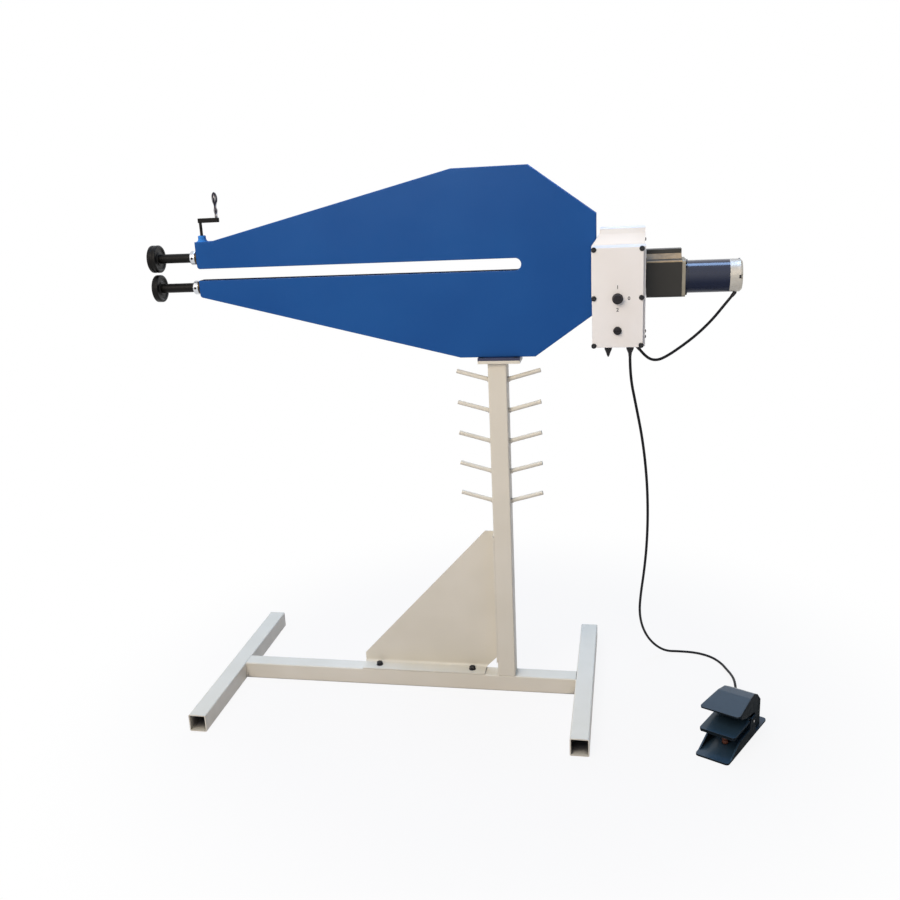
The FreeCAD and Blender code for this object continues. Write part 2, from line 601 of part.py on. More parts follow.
def screw_boss():
    """Flared boss on the upper nose that the adjusting screw turns in."""
    neck = BOSS_HEIGHT * 0.55
    flare = [math.radians(22.5 * k) for k in range(5)]
    profile = [(BOSS_FOOT_R - (BOSS_FOOT_R - BOSS_TOP_R) * math.sin(a), neck * (1 - math.cos(a))) for a in flare]
    boss = turned([(0, 0)] + profile + [(BOSS_TOP_R, BOSS_HEIGHT - 1.5), (BOSS_TOP_R - 1.5, BOSS_HEIGHT),
                                        (0, BOSS_HEIGHT)], V(CRANK_X, 0, NOSE_TOP_Z), Z_AXIS)
    boss = boss.common(block((NOSE_X, FRAME_TOP_X[0]), (-HALF_T, HALF_T), (NOSE_TOP_Z, NOSE_TOP_Z + BOSS_HEIGHT)))
    return boss.cut(rod(V(CRANK_X, 0, NOSE_TOP_Z - 1), Z_AXIS, SCREW_R + SCREW_CLEARANCE, BOSS_HEIGHT + 2))


# ---------------------------------------------------------------- bearings

def flanged_bush(z, x_end):
    """Bronze bush at the nose: its flange takes the collar's thrust."""
    flange_x = COLLAR_X + COLLAR_W + SIDE_GAP
    bush = rod(V(flange_x, 0, z), X_AXIS, BUSH_FLANGE_R, BUSH_FLANGE_T)
    bush = bush.fuse(rod(V(flange_x, 0, z), X_AXIS, BUSH_R, x_end - flange_x))
    return bush.cut(rod(V(flange_x - 1, 0, z), X_AXIS, SHAFT_R + RUN, x_end - flange_x + 2))


def lower_nose_block():
    """Block welded into the lower nose for the lower shaft's front bush."""
    half = HALF_T - FRAME_PLATE
    low = max(LOWER_NOSE_Z + FRAME_PLATE, LOWER_SHAFT_Z - BLOCK_BELOW)
    body = block((NOSE_BLOCK_X, NOSE_BLOCK_X + BLOCK_LENGTH), (-half, half), (low, SLOT_Z[0] - FRAME_PLATE))
    body = body.common(frame_outline(FRAME_PLATE, half))
    return body.cut(rod(V(NOSE_BLOCK_X - 1, 0, LOWER_SHAFT_Z), X_AXIS, BUSH_R, BLOCK_LENGTH + 2))


def lower_shaft_bushes():
    """Flanged bush in the nose and plain bush in the rear bearing block."""
    rear = rod(V(BLOCK_X, 0, LOWER_SHAFT_Z), X_AXIS, BUSH_R, BEARING_BLOCK_T)
    rear = rear.cut(rod(V(BLOCK_X - 1, 0, LOWER_SHAFT_Z), X_AXIS, SHAFT_R + RUN, BEARING_BLOCK_T + 2))
    return group([flanged_bush(LOWER_SHAFT_Z, NOSE_BLOCK_X + BLOCK_LENGTH), rear])


def upper_nose_block():
    """Block that slides up and down in the upper nose and hangs on the adjusting screw."""
    half = HALF_T - FRAME_PLATE - SIDE_GAP
    z = (UPPER_REAR_Z - BLOCK_BELOW, UPPER_REAR_Z + BLOCK_ABOVE)
    body = block((NOSE_BLOCK_X, NOSE_BLOCK_X + BLOCK_LENGTH), (-half, half), z)
    body = body.cut(rod(V(NOSE_BLOCK_X - 1, 0, UPPER_REAR_Z), X_AXIS, BUSH_R, BLOCK_LENGTH + 2))
    body = leaned(body)
    return body.cut(rod(V(CRANK_X, 0, SCREW_TIP_Z), Z_AXIS, SCREW_R + RUN, SCREW_SEAT + 5))


def upper_nose_bush():
    return leaned(flanged_bush(UPPER_REAR_Z, NOSE_BLOCK_X + BLOCK_LENGTH))


def bearing_bolt_places():
    middle = (LOWER_SHAFT_Z + BUSH_R + UPPER_REAR_Z - RACE_R) / 2
    return [(side * BLOCK_BOLT_Y, z) for side in (-1, 1) for z in (LOWER_SHAFT_Z - BLOCK_BOLT_DROP, middle)]


def rear_bearing_block():
    """Seat of the lower shaft's rear bush and of the swivel bearing, bolted on the frame's rear edge."""
    body = block((BLOCK_X, BLOCK_END_X), (-BEARING_BLOCK_W / 2, BEARING_BLOCK_W / 2),
                 (LOWER_SHAFT_Z - BEARING_BLOCK_FOOT, UPPER_REAR_Z + BEARING_BLOCK_HEAD))
    body = body.common(housing_form(HOUSING_WALL))
    body = body.cut(rod(V(BLOCK_X - 1, 0, LOWER_SHAFT_Z), X_AXIS, BUSH_R, BEARING_BLOCK_T + 2))
    body = body.cut(rod(V(BLOCK_X - 1, 0, UPPER_REAR_Z), X_AXIS, SHAFT_R + 2, BEARING_BLOCK_T + 2))
    body = body.cut(rod(V(BLOCK_END_X - RACE_W, 0, UPPER_REAR_Z), X_AXIS, RACE_R, RACE_W + 1))
    for y, z in bearing_bolt_places():
        body = body.cut(rod(V(BLOCK_X - 1, y, z), X_AXIS, BOLT_R, BEARING_BLOCK_T + 2))
    return body


def swivel_race():
    """Outer ring of the swivel bearing."""
    race = rod(V(BLOCK_END_X - RACE_W, 0, UPPER_REAR_Z), X_AXIS, RACE_R, RACE_W)
    return race.cut(Part.makeSphere(BALL_R + RUN, BALL_CENTRE))


def swivel_ball():
    """Inner ring with a spherical outside, which lets the upper shaft lean."""
    ball = Part.makeSphere(BALL_R, BALL_CENTRE)
    sides = block((BALL_X - RACE_W / 2, BALL_X + RACE_W / 2), (-BALL_R, BALL_R),
                  (UPPER_REAR_Z - BALL_R, UPPER_REAR_Z + BALL_R))
    ball = ball.common(sides)
    bore = rod(V(BALL_X - BALL_R, 0, UPPER_REAR_Z), X_AXIS, SHAFT_R + RUN, 2 * BALL_R)
    return leaned(ball.cut(bore))


# ---------------------------------------------------------------- shafts, gears and dies

def involute_gear(z):
    """Spur gear with involute flanks of three straight cuts each, bored for the shaft; a tooth points up."""
    pressure = math.radians(20)
    pitch_r = MODULE * TEETH / 2
    base_r = pitch_r * math.cos(pressure)
    half_tooth = math.pi / (2 * TEETH) - TOOTH_BACKLASH / (2 * pitch_r)
    flank_radii = [max(GEAR_ROOT_R, base_r) + (GEAR_TIP_R - max(GEAR_ROOT_R, base_r)) * k / 3 for k in range(4)]

    def involute(radius):
        ratio = min(base_r / radius, 1.0)
        angle = math.acos(ratio)
        return math.tan(angle) - angle

    def half_angle(radius):
        return half_tooth + involute(pitch_r) - involute(radius)

    points = []
    for tooth in range(TEETH):
        middle = 2 * math.pi * tooth / TEETH
        flank = [(GEAR_ROOT_R, half_angle(flank_radii[0]))] if GEAR_ROOT_R < base_r else []
        flank += [(radius, half_angle(radius)) for radius in flank_radii]
        for radius, angle in flank:
            points.append((radius, middle - angle))
        for radius, angle in reversed(flank):
            points.append((radius, middle + angle))
    outline = [V(GEAR_X, -r * math.sin(a), z + r * math.cos(a)) for r, a in points]
    wheel = prism(outline, V(GEAR_WIDTH, 0, 0))
    wheel = wheel.fuse(rod(V(GEAR_X + GEAR_WIDTH, 0, z), X_AXIS, HUB_R, HUB_LENGTH))
    return wheel.cut(rod(V(GEAR_X - 1, 0, z), X_AXIS, SHAFT_R, GEAR_WIDTH + HUB_LENGTH + 2))


def shaft(z, end_x, die_width):
    """Turned shaft with a smaller seat for the die and a threaded tip."""
    shoulder = DIE_X + die_width / 2
    tip = DIE_X - die_width / 2 - DIE_NUT_T - SEAT_END
    seat = rod(V(tip, 0, z), X_AXIS, SEAT_R, shoulder - tip)
    body = rod(V(shoulder, 0, z), X_AXIS, SHAFT_R, end_x - shoulder)
    return seat.fuse(body).removeSplitter()


def die(z, width, groove):
    """Forming roll: eased rim, dished faces and, on the upper one, a half-round groove."""
    half = width / 2
    rim = DIE_R - DIE_RIM_R
    dish = DIE_WEB_INSET
    profile = [(SEAT_R, -half), (DIE_HUB_R, -half), (DIE_HUB_R + dish, -half + dish),
               (DIE_R - DIE_RIM_T - dish, -half + dish), (DIE_R - DIE_RIM_T, -half)]
    for step in range(4):
        angle = math.radians(30 * step)
        profile.append((rim + DIE_RIM_R * math.sin(angle), -half + DIE_RIM_R * (1 - math.cos(angle))))
    if groove:
        reach = math.sqrt(DIE_GROOVE_R ** 2 - (DIE_GROOVE_R - DIE_GROOVE_DEPTH) ** 2)
        profile += [(DIE_R, -reach), (DIE_R - DIE_GROOVE_DEPTH * 0.8, -reach * 0.6), (DIE_R - DIE_GROOVE_DEPTH, 0),
                    (DIE_R - DIE_GROOVE_DEPTH * 0.8, reach * 0.6), (DIE_R, reach)]
    profile += [(radius, -along) for radius, along in reversed(profile[:9])]
    return turned(profile, V(DIE_X, 0, z), X_AXIS)


def die_nut(z, width):
    x = DIE_X - width / 2 - DIE_NUT_T
    nut = hexagon(V(x, 0, z), X_AXIS, DIE_NUT_AF + 8, DIE_NUT_T)
    return nut.cut(rod(V(x - 1, 0, z), X_AXIS, SEAT_R, DIE_NUT_T + 2))


def shaft_collar(z):
    """Stop collar; the set screw's socket faces the operator."""
    half = [(SHAFT_R, 0), (COLLAR_R - COLLAR_EASE, 0), (COLLAR_R - 0.3 * COLLAR_EASE, 0.3 * COLLAR_EASE),
            (COLLAR_R, COLLAR_EASE)]
    profile = half + [(radius, COLLAR_W - along) for radius, along in reversed(half)]
    collar = turned(profile, V(COLLAR_X, 0, z), X_AXIS)
    socket = rod(V(COLLAR_X + COLLAR_W / 2, -COLLAR_R - 1, z), Y_AXIS, SET_SCREW_R, SET_SCREW_DEPTH + 1)
    return collar.cut(socket)


def lower_shaft():
    """Lower shaft, bored at its rear end for the gearbox's output shaft."""
    whole = shaft(LOWER_SHAFT_Z, LOWER_SHAFT_END_X, LOWER_DIE_WIDTH)
    start = V(LOWER_SHAFT_END_X - OUTPUT_SHAFT_SEAT, 0, LOWER_SHAFT_Z)
    return whole.cut(rod(start, X_AXIS, OUTPUT_SHAFT_R, OUTPUT_SHAFT_SEAT + 1))


def output_shaft():
    start = LOWER_SHAFT_END_X - OUTPUT_SHAFT_SEAT
    return rod(V(start, 0, LOWER_SHAFT_Z), X_AXIS, OUTPUT_SHAFT_R, GEARBOX_X + OUTPUT_SHAFT_GRIP - start)


# ---------------------------------------------------------------- crank

def adjusting_screw():
    """Screw with a plain tip turning in the upper block and a thinner stem to the crank."""
    thread_top = NOSE_TOP_Z + BOSS_HEIGHT - TRAVEL
    thick = rod(V(CRANK_X, 0, SCREW_TIP_Z), Z_AXIS, SCREW_R, thread_top - SCREW_TIP_Z)
    stem = rod(V(CRANK_X, 0, thread_top), Z_AXIS, CRANK_STEM_R, CRANK_ARM_Z - CRANK_ARM_T / 2 - thread_top)
    return thick.fuse(stem).removeSplitter()


def crank_arm():
    """Straight arm with rounded ends and the grip's pin."""
    x0 = CRANK_X
    x1 = CRANK_X + CRANK_ARM_LENGTH
    z = CRANK_ARM_Z - CRANK_ARM_T / 2
    bar = block((x0, x1), (-CRANK_ARM_R, CRANK_ARM_R), (z, z + CRANK_ARM_T))
    for x in (x0, x1):
        bar = bar.fuse(rod(V(x, 0, z), Z_AXIS, CRANK_ARM_R, CRANK_ARM_T))
    bar = bar.removeSplitter()
    rims = [e for e in bar.Edges if abs(abs(e.CenterOfMass.z - CRANK_ARM_Z) - CRANK_ARM_T / 2) < 1e-6]
    bar = bar.makeFillet(1.5, rims)
    pin = rod(V(x1, 0, z + CRANK_ARM_T), Z_AXIS, GRIP_PIN_R, GRIP_HEIGHT - 8)
    return bar.fuse(pin)


def crank_grip():
    """Turned grip: collar, bulge, waist and a long oval head."""
    z = CRANK_ARM_Z + CRANK_ARM_T / 2 + SIDE_GAP
    h = GRIP_HEIGHT
    curve = [(4.0, 0.0), (4.4, 0.05), (3.9, 0.12), (4.8, 0.19), (5.6, 0.25), (5.2, 0.32), (4.0, 0.39), (3.8, 0.46),
             (5.0, 0.54), (6.9, 0.63), (7.8, 0.73), (7.4, 0.83), (5.6, 0.92), (3.0, 0.98), (0.0, 1.0)]
    spline = Part.BSplineCurve()
    spline.interpolate([V(radius, 0, share * h) for radius, share in curve])
    edges = [spline.toShape(), Part.makeLine(V(0, 0, h), V(0, 0, 0)), Part.makeLine(V(0, 0, 0), V(4.0, 0, 0))]
    grip = Part.Face(Part.Wire(edges)).revolve(V(0, 0, 0), Z_AXIS, 360)
    grip.translate(V(CRANK_X + CRANK_ARM_LENGTH, 0, z))
    bore = rod(V(CRANK_X + CRANK_ARM_LENGTH, 0, z - 1), Z_AXIS, GRIP_PIN_R + RUN, GRIP_HEIGHT - 8 + 1.5)
    return Part.makeSolid(grip.Shells[0]).cut(bore)


# ---------------------------------------------------------------- gear housing

def housing_form(inset):
    """Outside of the housing, or its inside when moved in by the wall; notched for the frame's rear edge."""
    left = HOUSING_LEFT_X + inset
    right = HOUSING_RIGHT_X - (MOTOR_WALL if inset else 0)
    shoulder = HOUSING_SHOULDER_Z - inset
    top = HOUSING_TOP_Z - inset
    bevel_top = shoulder + HOUSING_BEVEL_H
    outline = [V(left, 0, HOUSING_BOTTOM_Z + inset), V(right, 0, HOUSING_BOTTOM_Z + inset), V(right, 0, top),
               V(left + HOUSING_BEVEL_X, 0, top), V(left + HOUSING_BEVEL_X, 0, bevel_top), V(left, 0, shoulder)]
    front = -HOUSING_HALF_W + inset
    back = HOUSING_HALF_W - HOUSING_WALL
    solid = prism(outline, V(0, back - front, 0))
    solid.translate(V(0, front, 0))
    wedge = prism([V(0, front - 1, shoulder), V(0, front - 1, top + 1), V(0, front + HOUSING_BEVEL_Y, top + 1),
                   V(0, front + HOUSING_BEVEL_Y, bevel_top), V(0, front, shoulder)], V(right - left + 2, 0, 0))
    wedge.translate(V(left - 1, 0, 0))
    reach = HALF_T + SIDE_GAP + inset
    notch = block((left - 1, FRAME_BACK_X + inset), (-reach, reach), (HOUSING_BOTTOM_Z - 1, HOUSING_TOP_Z + 1))
    return solid.cut(wedge).cut(notch)


def cover_screw_places():
    inset = COVER_SCREW_INSET
    left = HOUSING_LEFT_X + inset
    right = HOUSING_RIGHT_X - inset
    low = HOUSING_BOTTOM_Z + inset
    high = HOUSING_SHOULDER_Z - inset
    top = HOUSING_TOP_Z - inset
    return [(left, low), (right, low), (left, high), (right, top), (left + HOUSING_BEVEL_X, top)]


def gear_housing():
    """Sheet steel case open at the back, with a thick right wall for the gearbox."""
    case = housing_form(0).cut(housing_form(HOUSING_WALL))
    for z in (LOWER_SHAFT_Z, UPPER_REAR_Z):
        case = case.cut(rod(V(FRAME_BACK_X - 1, 0, z), X_AXIS, SHAFT_R + 2, HOUSING_BEVEL_X + 2))
    for y, z in bearing_bolt_places():
        case = case.cut(rod(V(FRAME_BACK_X - 1, y, z), X_AXIS, BOLT_R, HOUSING_WALL + 2))
    drive = V(HOUSING_RIGHT_X - MOTOR_WALL - 1, 0, LOWER_SHAFT_Z)
    case = case.cut(rod(drive, X_AXIS, OUTPUT_SHAFT_R + 3, MOTOR_WALL + 2))
    ear = COVER_SCREW_HEAD_R
    back = HOUSING_HALF_W - HOUSING_WALL
    for x, z in cover_screw_places():
        tab = rod(V(x, back - 10, z), Y_AXIS, ear, 10).common(housing_form(0))
        case = case.fuse(tab)
        case = case.cut(rod(V(x, back - 8, z), Y_AXIS, COVER_SCREW_R, 9))
    return without_side_screws(case).removeSplitter()


def gear_cover():
    """Flat rear cover of the gear housing."""
    sheet = housing_form(0)
    sheet = sheet.common(block((HOUSING_LEFT_X, HOUSING_RIGHT_X), (HOUSING_HALF_W - 10, HOUSING_HALF_W - 9),
                               (HOUSING_BOTTOM_Z, HOUSING_TOP_Z)))
    face = [f for f in sheet.Faces if abs(f.CenterOfMass.y - HOUSING_HALF_W + 10) < 1e-6][0]
    cover = face.extrude(V(0, HOUSING_WALL, 0))
    cover.translate(V(0, 10 - HOUSING_WALL, 0))
    for x, z in cover_screw_places():
        cover = cover.cut(rod(V(x, 0, z), Y_AXIS, COVER_SCREW_R, 2 * HOUSING_HALF_W))
    return cover


def side_screw_places():
    """Small screws in the right sides: one in the gear housing, two in the control box."""
    side_y = BOX_FRONT_Y + LID_DEPTH + 18
    side_x = BOX_LEFT_X + BOX_WIDTH + BASE_EXTRA
    return [V(HOUSING_RIGHT_X, BEVEL_TOP_Y + 3, HOUSING_TOP_Z - 28),
            V(side_x, side_y, BOX_BOTTOM_Z + 34.5), V(side_x, side_y, BOX_BOTTOM_Z + 21)]


def without_side_screws(shape):
    """Cuts the clearance holes of the side screws."""
    for place in side_screw_places():
        shape = shape.cut(rod(place - V(10, 0, 0), X_AXIS, COVER_SCREW_R, 12))
    return shape


def housing_screws():
    """Screws of the rear cover and of the right sides."""
    places = [(V(x, HOUSING_HALF_W, z), Y_AXIS, HOUSING_WALL + 7) for x, z in cover_screw_places()]
    places += [(place, X_AXIS, BOX_WALL) for place in side_screw_places()]
    screws = []
    for seat, direction, grip in places:
        shank = rod(seat - direction * grip, direction, COVER_SCREW_R, grip)
        head = turned([(0, 0), (COVER_SCREW_HEAD_R, 0), (COVER_SCREW_HEAD_R * 0.75, 2.2), (0, 2.8)], seat, direction)
        screws.append(shank.fuse(head).Solids[0])
    return group(screws)


# ---------------------------------------------------------------- control box

def control_box():
    """Box base, open at the front."""
    x = (BOX_LEFT_X, BOX_LEFT_X + BOX_WIDTH + BASE_EXTRA)
    y = (BOX_FRONT_Y + LID_DEPTH, -HOUSING_HALF_W)
    z = (BOX_BOTTOM_Z, BOX_BOTTOM_Z + BOX_HEIGHT)
    base = block(x, y, z)
    hollow = block((x[0] + BOX_WALL, x[1] - BOX_WALL), (y[0] - 1, y[1] - BOX_WALL),
                   (z[0] + BOX_WALL, z[1] - BOX_WALL))
    base = base.cut(hollow)
    for gx in (MAINS_GLAND_X, PEDAL_GLAND_X, MOTOR_GLAND_X):
        base = base.cut(rod(V(gx, GLAND_Y, BOX_BOTTOM_Z - 1), Z_AXIS, CORD_R + 1, BOX_WALL + 2))
    return without_side_screws(base)


def control_box_lid():
    """Shallow front cover with holes for the switch spindle and the fuse holder."""
    x = (BOX_LEFT_X, BOX_LEFT_X + BOX_WIDTH)
    y = (BOX_FRONT_Y, BOX_FRONT_Y + LID_DEPTH)
    z = (BOX_BOTTOM_Z, BOX_BOTTOM_Z + BOX_HEIGHT)
    lid = block(x, y, z)
    front = [e for e in lid.Edges if abs(e.CenterOfMass.y - y[0]) < 1e-6]
    lid = lid.makeFillet(1.2, front)
    hollow = block((x[0] + BOX_WALL, x[1] - BOX_WALL), (y[0] + BOX_WALL, y[1] + 1),
                   (z[0] + BOX_WALL, z[1] - BOX_WALL))
    lid = lid.cut(hollow)
    lid = lid.cut(rod(V(BOX_MID_X, y[0] - 1, KNOB_Z), Y_AXIS, SPINDLE_R + RUN, BOX_WALL + 2))
    return lid.cut(rod(V(BOX_MID_X, y[0] - 1, FUSE_Z), Y_AXIS, FUSE_BODY_R, BOX_WALL + 2))


def lid_screws():
    left = BOX_LEFT_X + LID_SCREW_INSET
    right = BOX_LEFT_X + BOX_WIDTH - LID_SCREW_INSET
    low = BOX_BOTTOM_Z + LID_SCREW_INSET
    high = BOX_BOTTOM_Z + BOX_HEIGHT - LID_SCREW_INSET
    screws = []
    for x in (left, right):
        for z in (low, (low + high) / 2, high):
            head = turned([(0, 0), (LID_SCREW_R, 0), (LID_SCREW_R, LID_SCREW_H - 1), (LID_SCREW_R - 1, LID_SCREW_H),
                           (0, LID_SCREW_H)], V(x, BOX_FRONT_Y, z), V(0, -1, 0))
            notch = block((x - LID_SCREW_R, x + LID_SCREW_R), (BOX_FRONT_Y - LID_SCREW_H - 1, BOX_FRONT_Y - 1.6),
                          (z - 0.9, z + 0.9))
            screws.append(head.cut(notch))
    return group(screws)


def rotary_switch():
    """Switch body behind the lid."""
    half = SWITCH_SIZE / 2
    y = BOX_FRONT_Y + BOX_WALL
    body = block((BOX_MID_X - half, BOX_MID_X + half), (y, y + SWITCH_DEPTH), (KNOB_Z - half, KNOB_Z + half))
    return body.cut(rod(V(BOX_MID_X, y - 1, KNOB_Z), Y_AXIS, SPINDLE_R + RUN, 9))


def switch_knob():
    """Round knob with a pointer ridge, on the switch's spindle; the pointer shows the off position."""
    y = BOX_FRONT_Y - SIDE_GAP
    knob = turned([(0, 0), (KNOB_R, 0), (KNOB_R, 3), (KNOB_R - 1.5, 4.5), (KNOB_R - 2.2, KNOB_H - 1.5),
                   (KNOB_R - 3.5, KNOB_H), (0, KNOB_H)], V(BOX_MID_X, y, KNOB_Z), V(0, -1, 0))
    pointer = block((BOX_MID_X - 1.2, BOX_MID_X + KNOB_R - 2), (y - KNOB_H - 2, y - KNOB_H + 2),
                    (KNOB_Z - 1.6, KNOB_Z + 1.6))
    spindle = rod(V(BOX_MID_X, y, KNOB_Z), Y_AXIS, SPINDLE_R, BOX_WALL + 7)
    return knob.fuse(pointer).fuse(spindle)


def fuse_holder():
    y = BOX_FRONT_Y
    body = rod(V(BOX_MID_X, y, FUSE_Z), Y_AXIS, FUSE_BODY_R, FUSE_BODY_L)
    nut = hexagon(V(BOX_MID_X, y + BOX_WALL, FUSE_Z), Y_AXIS, 2 * FUSE_BODY_R + 5, 4)
    return body.fuse(nut).cut(rod(V(BOX_MID_X, y - 1, FUSE_Z), Y_AXIS, FUSE_BODY_R - 2, FUSE_BODY_L - 5))


def fuse_cap():
    """Screw cap with a coin slot; its stem holds the fuse."""
    y = BOX_FRONT_Y - SIDE_GAP
    cap = turned([(0, 0), (FUSE_CAP_R, 0), (FUSE_CAP_R, 2), (FUSE_CAP_R - 1.5, 3), (FUSE_CAP_R - 2, FUSE_CAP_H - 1),
                  (FUSE_CAP_R - 3, FUSE_CAP_H), (0, FUSE_CAP_H)], V(BOX_MID_X, y, FUSE_Z), V(0, -1, 0))
    slot = block((BOX_MID_X - FUSE_CAP_R, BOX_MID_X + FUSE_CAP_R), (y - FUSE_CAP_H - 1, y - FUSE_CAP_H + 2),
                 (FUSE_Z - 0.9, FUSE_Z + 0.9))
    stem = rod(V(BOX_MID_X, y, FUSE_Z), Y_AXIS, FUSE_BODY_R - 2 - RUN, FUSE_BODY_L - 8)
    return cap.cut(slot).fuse(stem)


def cable_gland(seat, direction):
    """Cable gland: washer face, hexagon, round clamp nut and a nose that narrows to the cord."""
    clamp = turned([(0, 0), (GLAND_R, 0), (GLAND_R, 2), (GLAND_HEX_R, 2), (GLAND_HEX_R, 6), (GLAND_R, 7.5),
                    (GLAND_R, 13), (CORD_R + 1, GLAND_LENGTH), (0, GLAND_LENGTH)], V(0, 0, 0), Z_AXIS)
    gland = clamp.fuse(hexagon(V(0, 0, 2), Z_AXIS, 2 * GLAND_HEX_R + 1, 4))
    gland.Placement = FreeCAD.Placement(seat, FreeCAD.Rotation(Z_AXIS, direction))
    return gland


def small_relief(seat, direction, nose):
    """Small cable entry: round base, short body and a tapering nose that leans with the cable."""
    stem = rod(seat, direction, RELIEF_R, 2).fuse(rod(seat, direction, RELIEF_BODY_R, RELIEF_STEM))
    bend = seat + direction * RELIEF_STEM
    cone = Part.makeCone(RELIEF_BODY_R, CORD_R + 0.7, RELIEF_NOSE, bend, nose)
    if nose.getAngle(direction) > 0.01:
        stem = stem.fuse(Part.makeSphere(RELIEF_BODY_R, bend))
    return stem.fuse(cone).removeSplitter()


def cable_glands():
    """Three under the control box, one in the motor's end cap and one in the back of the foot switch."""
    down = V(0, 0, -1)
    lean = math.radians(RELIEF_LEAN)
    glands = [cable_gland(V(x, GLAND_Y, BOX_BOTTOM_Z), down) for x in (MAINS_GLAND_X, PEDAL_GLAND_X)]
    for seat, side in ((V(MOTOR_GLAND_X, GLAND_Y, BOX_BOTTOM_Z), 1), (cap_relief_seat(), -1)):
        glands.append(small_relief(seat, down, V(side * math.sin(lean), 0, -math.cos(lean))))
    turn = math.radians(PEDAL_TURN)
    straight_back = V(math.sin(turn), math.cos(turn), 0)
    seat = V(PEDAL_GLAND_LOCAL_X, HOOD_BACK_Y, PEDAL_GLAND_Z)
    glands.append(on_pedal(small_relief(seat, Y_AXIS, straight_back)))
    return group(glands)


# ---------------------------------------------------------------- gearbox and motor

def gearbox_case():
    """Parallel-shaft gearbox: square case with eased edges, a bulge for the output wheel and a round pilot."""
    half = GEARBOX_SIZE / 2
    x = (GEARBOX_X, GEARBOX_X + GEARBOX_LENGTH)
    case = block(x, (-half, half), (MOTOR_Z - half, MOTOR_Z + half))
    along = [e for e in case.Edges if abs(e.tangentAt(e.FirstParameter).x) > 0.9]
    case = case.makeFillet(GEARBOX_EDGE_R, along)
    top = MOTOR_Z + half
    lobe = prism([V(x[0], LOBE_FRONT_Y - LOBE_SLOPE, top - GEARBOX_EDGE_R), V(x[0], LOBE_FRONT_Y - LOBE_SLOPE, top),
                  V(x[0], LOBE_FRONT_Y, top + LOBE_HEIGHT * 0.55), V(x[0], LOBE_FRONT_Y + 2, top + LOBE_HEIGHT),
                  V(x[0], half - 3, top + LOBE_HEIGHT), V(x[0], half, top + LOBE_HEIGHT - 3),
                  V(x[0], half, top - GEARBOX_EDGE_R)], V(GEARBOX_LENGTH, 0, 0))
    pilot = rod(V(PILOT_X, 0, LOWER_SHAFT_Z), X_AXIS, PILOT_R, PILOT_T)
    case = case.fuse(lobe).fuse(pilot).removeSplitter()
    entry = V(PILOT_X - 1, 0, LOWER_SHAFT_Z)
    return case.cut(rod(entry, X_AXIS, OUTPUT_SHAFT_R + RUN, PILOT_T + OUTPUT_SHAFT_GRIP + 2))


def motor_flange():
    half = GEARBOX_SIZE / 2
    flange = block((MOTOR_FLANGE_X, MOTOR_FLANGE_X + MOTOR_FLANGE_T), (-half, half), (MOTOR_Z - half, MOTOR_Z + half))
    along = [e for e in flange.Edges if abs(e.tangentAt(e.FirstParameter).x) > 0.9]
    return flange.makeFillet(GEARBOX_EDGE_R, along)


def motor_body():
    """Round motor with a wider register ring against the flange."""
    ring = rod(V(MOTOR_RING_X, 0, MOTOR_Z), X_AXIS, MOTOR_RING_R, MOTOR_RING_T)
    return ring.fuse(rod(V(MOTOR_X, 0, MOTOR_Z), X_AXIS, MOTOR_R, MOTOR_LENGTH)).removeSplitter()


def cap_relief_seat():
    return V(CAP_GLAND_X, 0, MOTOR_Z - MOTOR_R + CAP_GLAND_SINK)


def cap_notch_places():
    """Screw pockets at the front, the top and the back of the end cap."""
    reach = MOTOR_R - CAP_NOTCH_INSET
    return [(-reach, MOTOR_Z), (0, MOTOR_Z + reach), (reach, MOTOR_Z)]


def motor_end_cap():
    cap = turned([(0, 0), (MOTOR_R, 0), (MOTOR_R, CAP_LENGTH - CAP_CHAMFER), (MOTOR_R - CAP_CHAMFER, CAP_LENGTH),
                  (12, CAP_LENGTH), (12, CAP_LENGTH - 1.5), (0, CAP_LENGTH - 1.5)], V(CAP_X, 0, MOTOR_Z), X_AXIS)
    for y, z in cap_notch_places():
        cap = cap.cut(rod(V(CAP_X + CAP_LENGTH - CAP_NOTCH_DEPTH, y, z), X_AXIS, CAP_NOTCH_R, CAP_NOTCH_DEPTH + 1))
    return cap.cut(rod(cap_relief_seat(), V(0, 0, -1), RELIEF_R + 1, RELIEF_STEM))


def motor_screws():
    """Four cap screws on the flange's corners and three in the end cap's pockets."""
    reach = GEARBOX_SIZE / 2 - MOTOR_SCREW_INSET
    places = [V(MOTOR_RING_X, sy * reach, MOTOR_Z + sz * reach) for sy in (-1, 1) for sz in (-1, 1)]
    places += [V(CAP_X + CAP_LENGTH - CAP_NOTCH_DEPTH, y, z) for y, z in cap_notch_places()]
    heads = []
    for place in places:
        head = rod(place, X_AXIS, MOTOR_SCREW_R, MOTOR_SCREW_R)
        heads.append(head.cut(hexagon(place + V(MOTOR_SCREW_R / 2, 0, 0), X_AXIS, MOTOR_SCREW_R, MOTOR_SCREW_R)))
    return group(heads)


# ---------------------------------------------------------------- cords

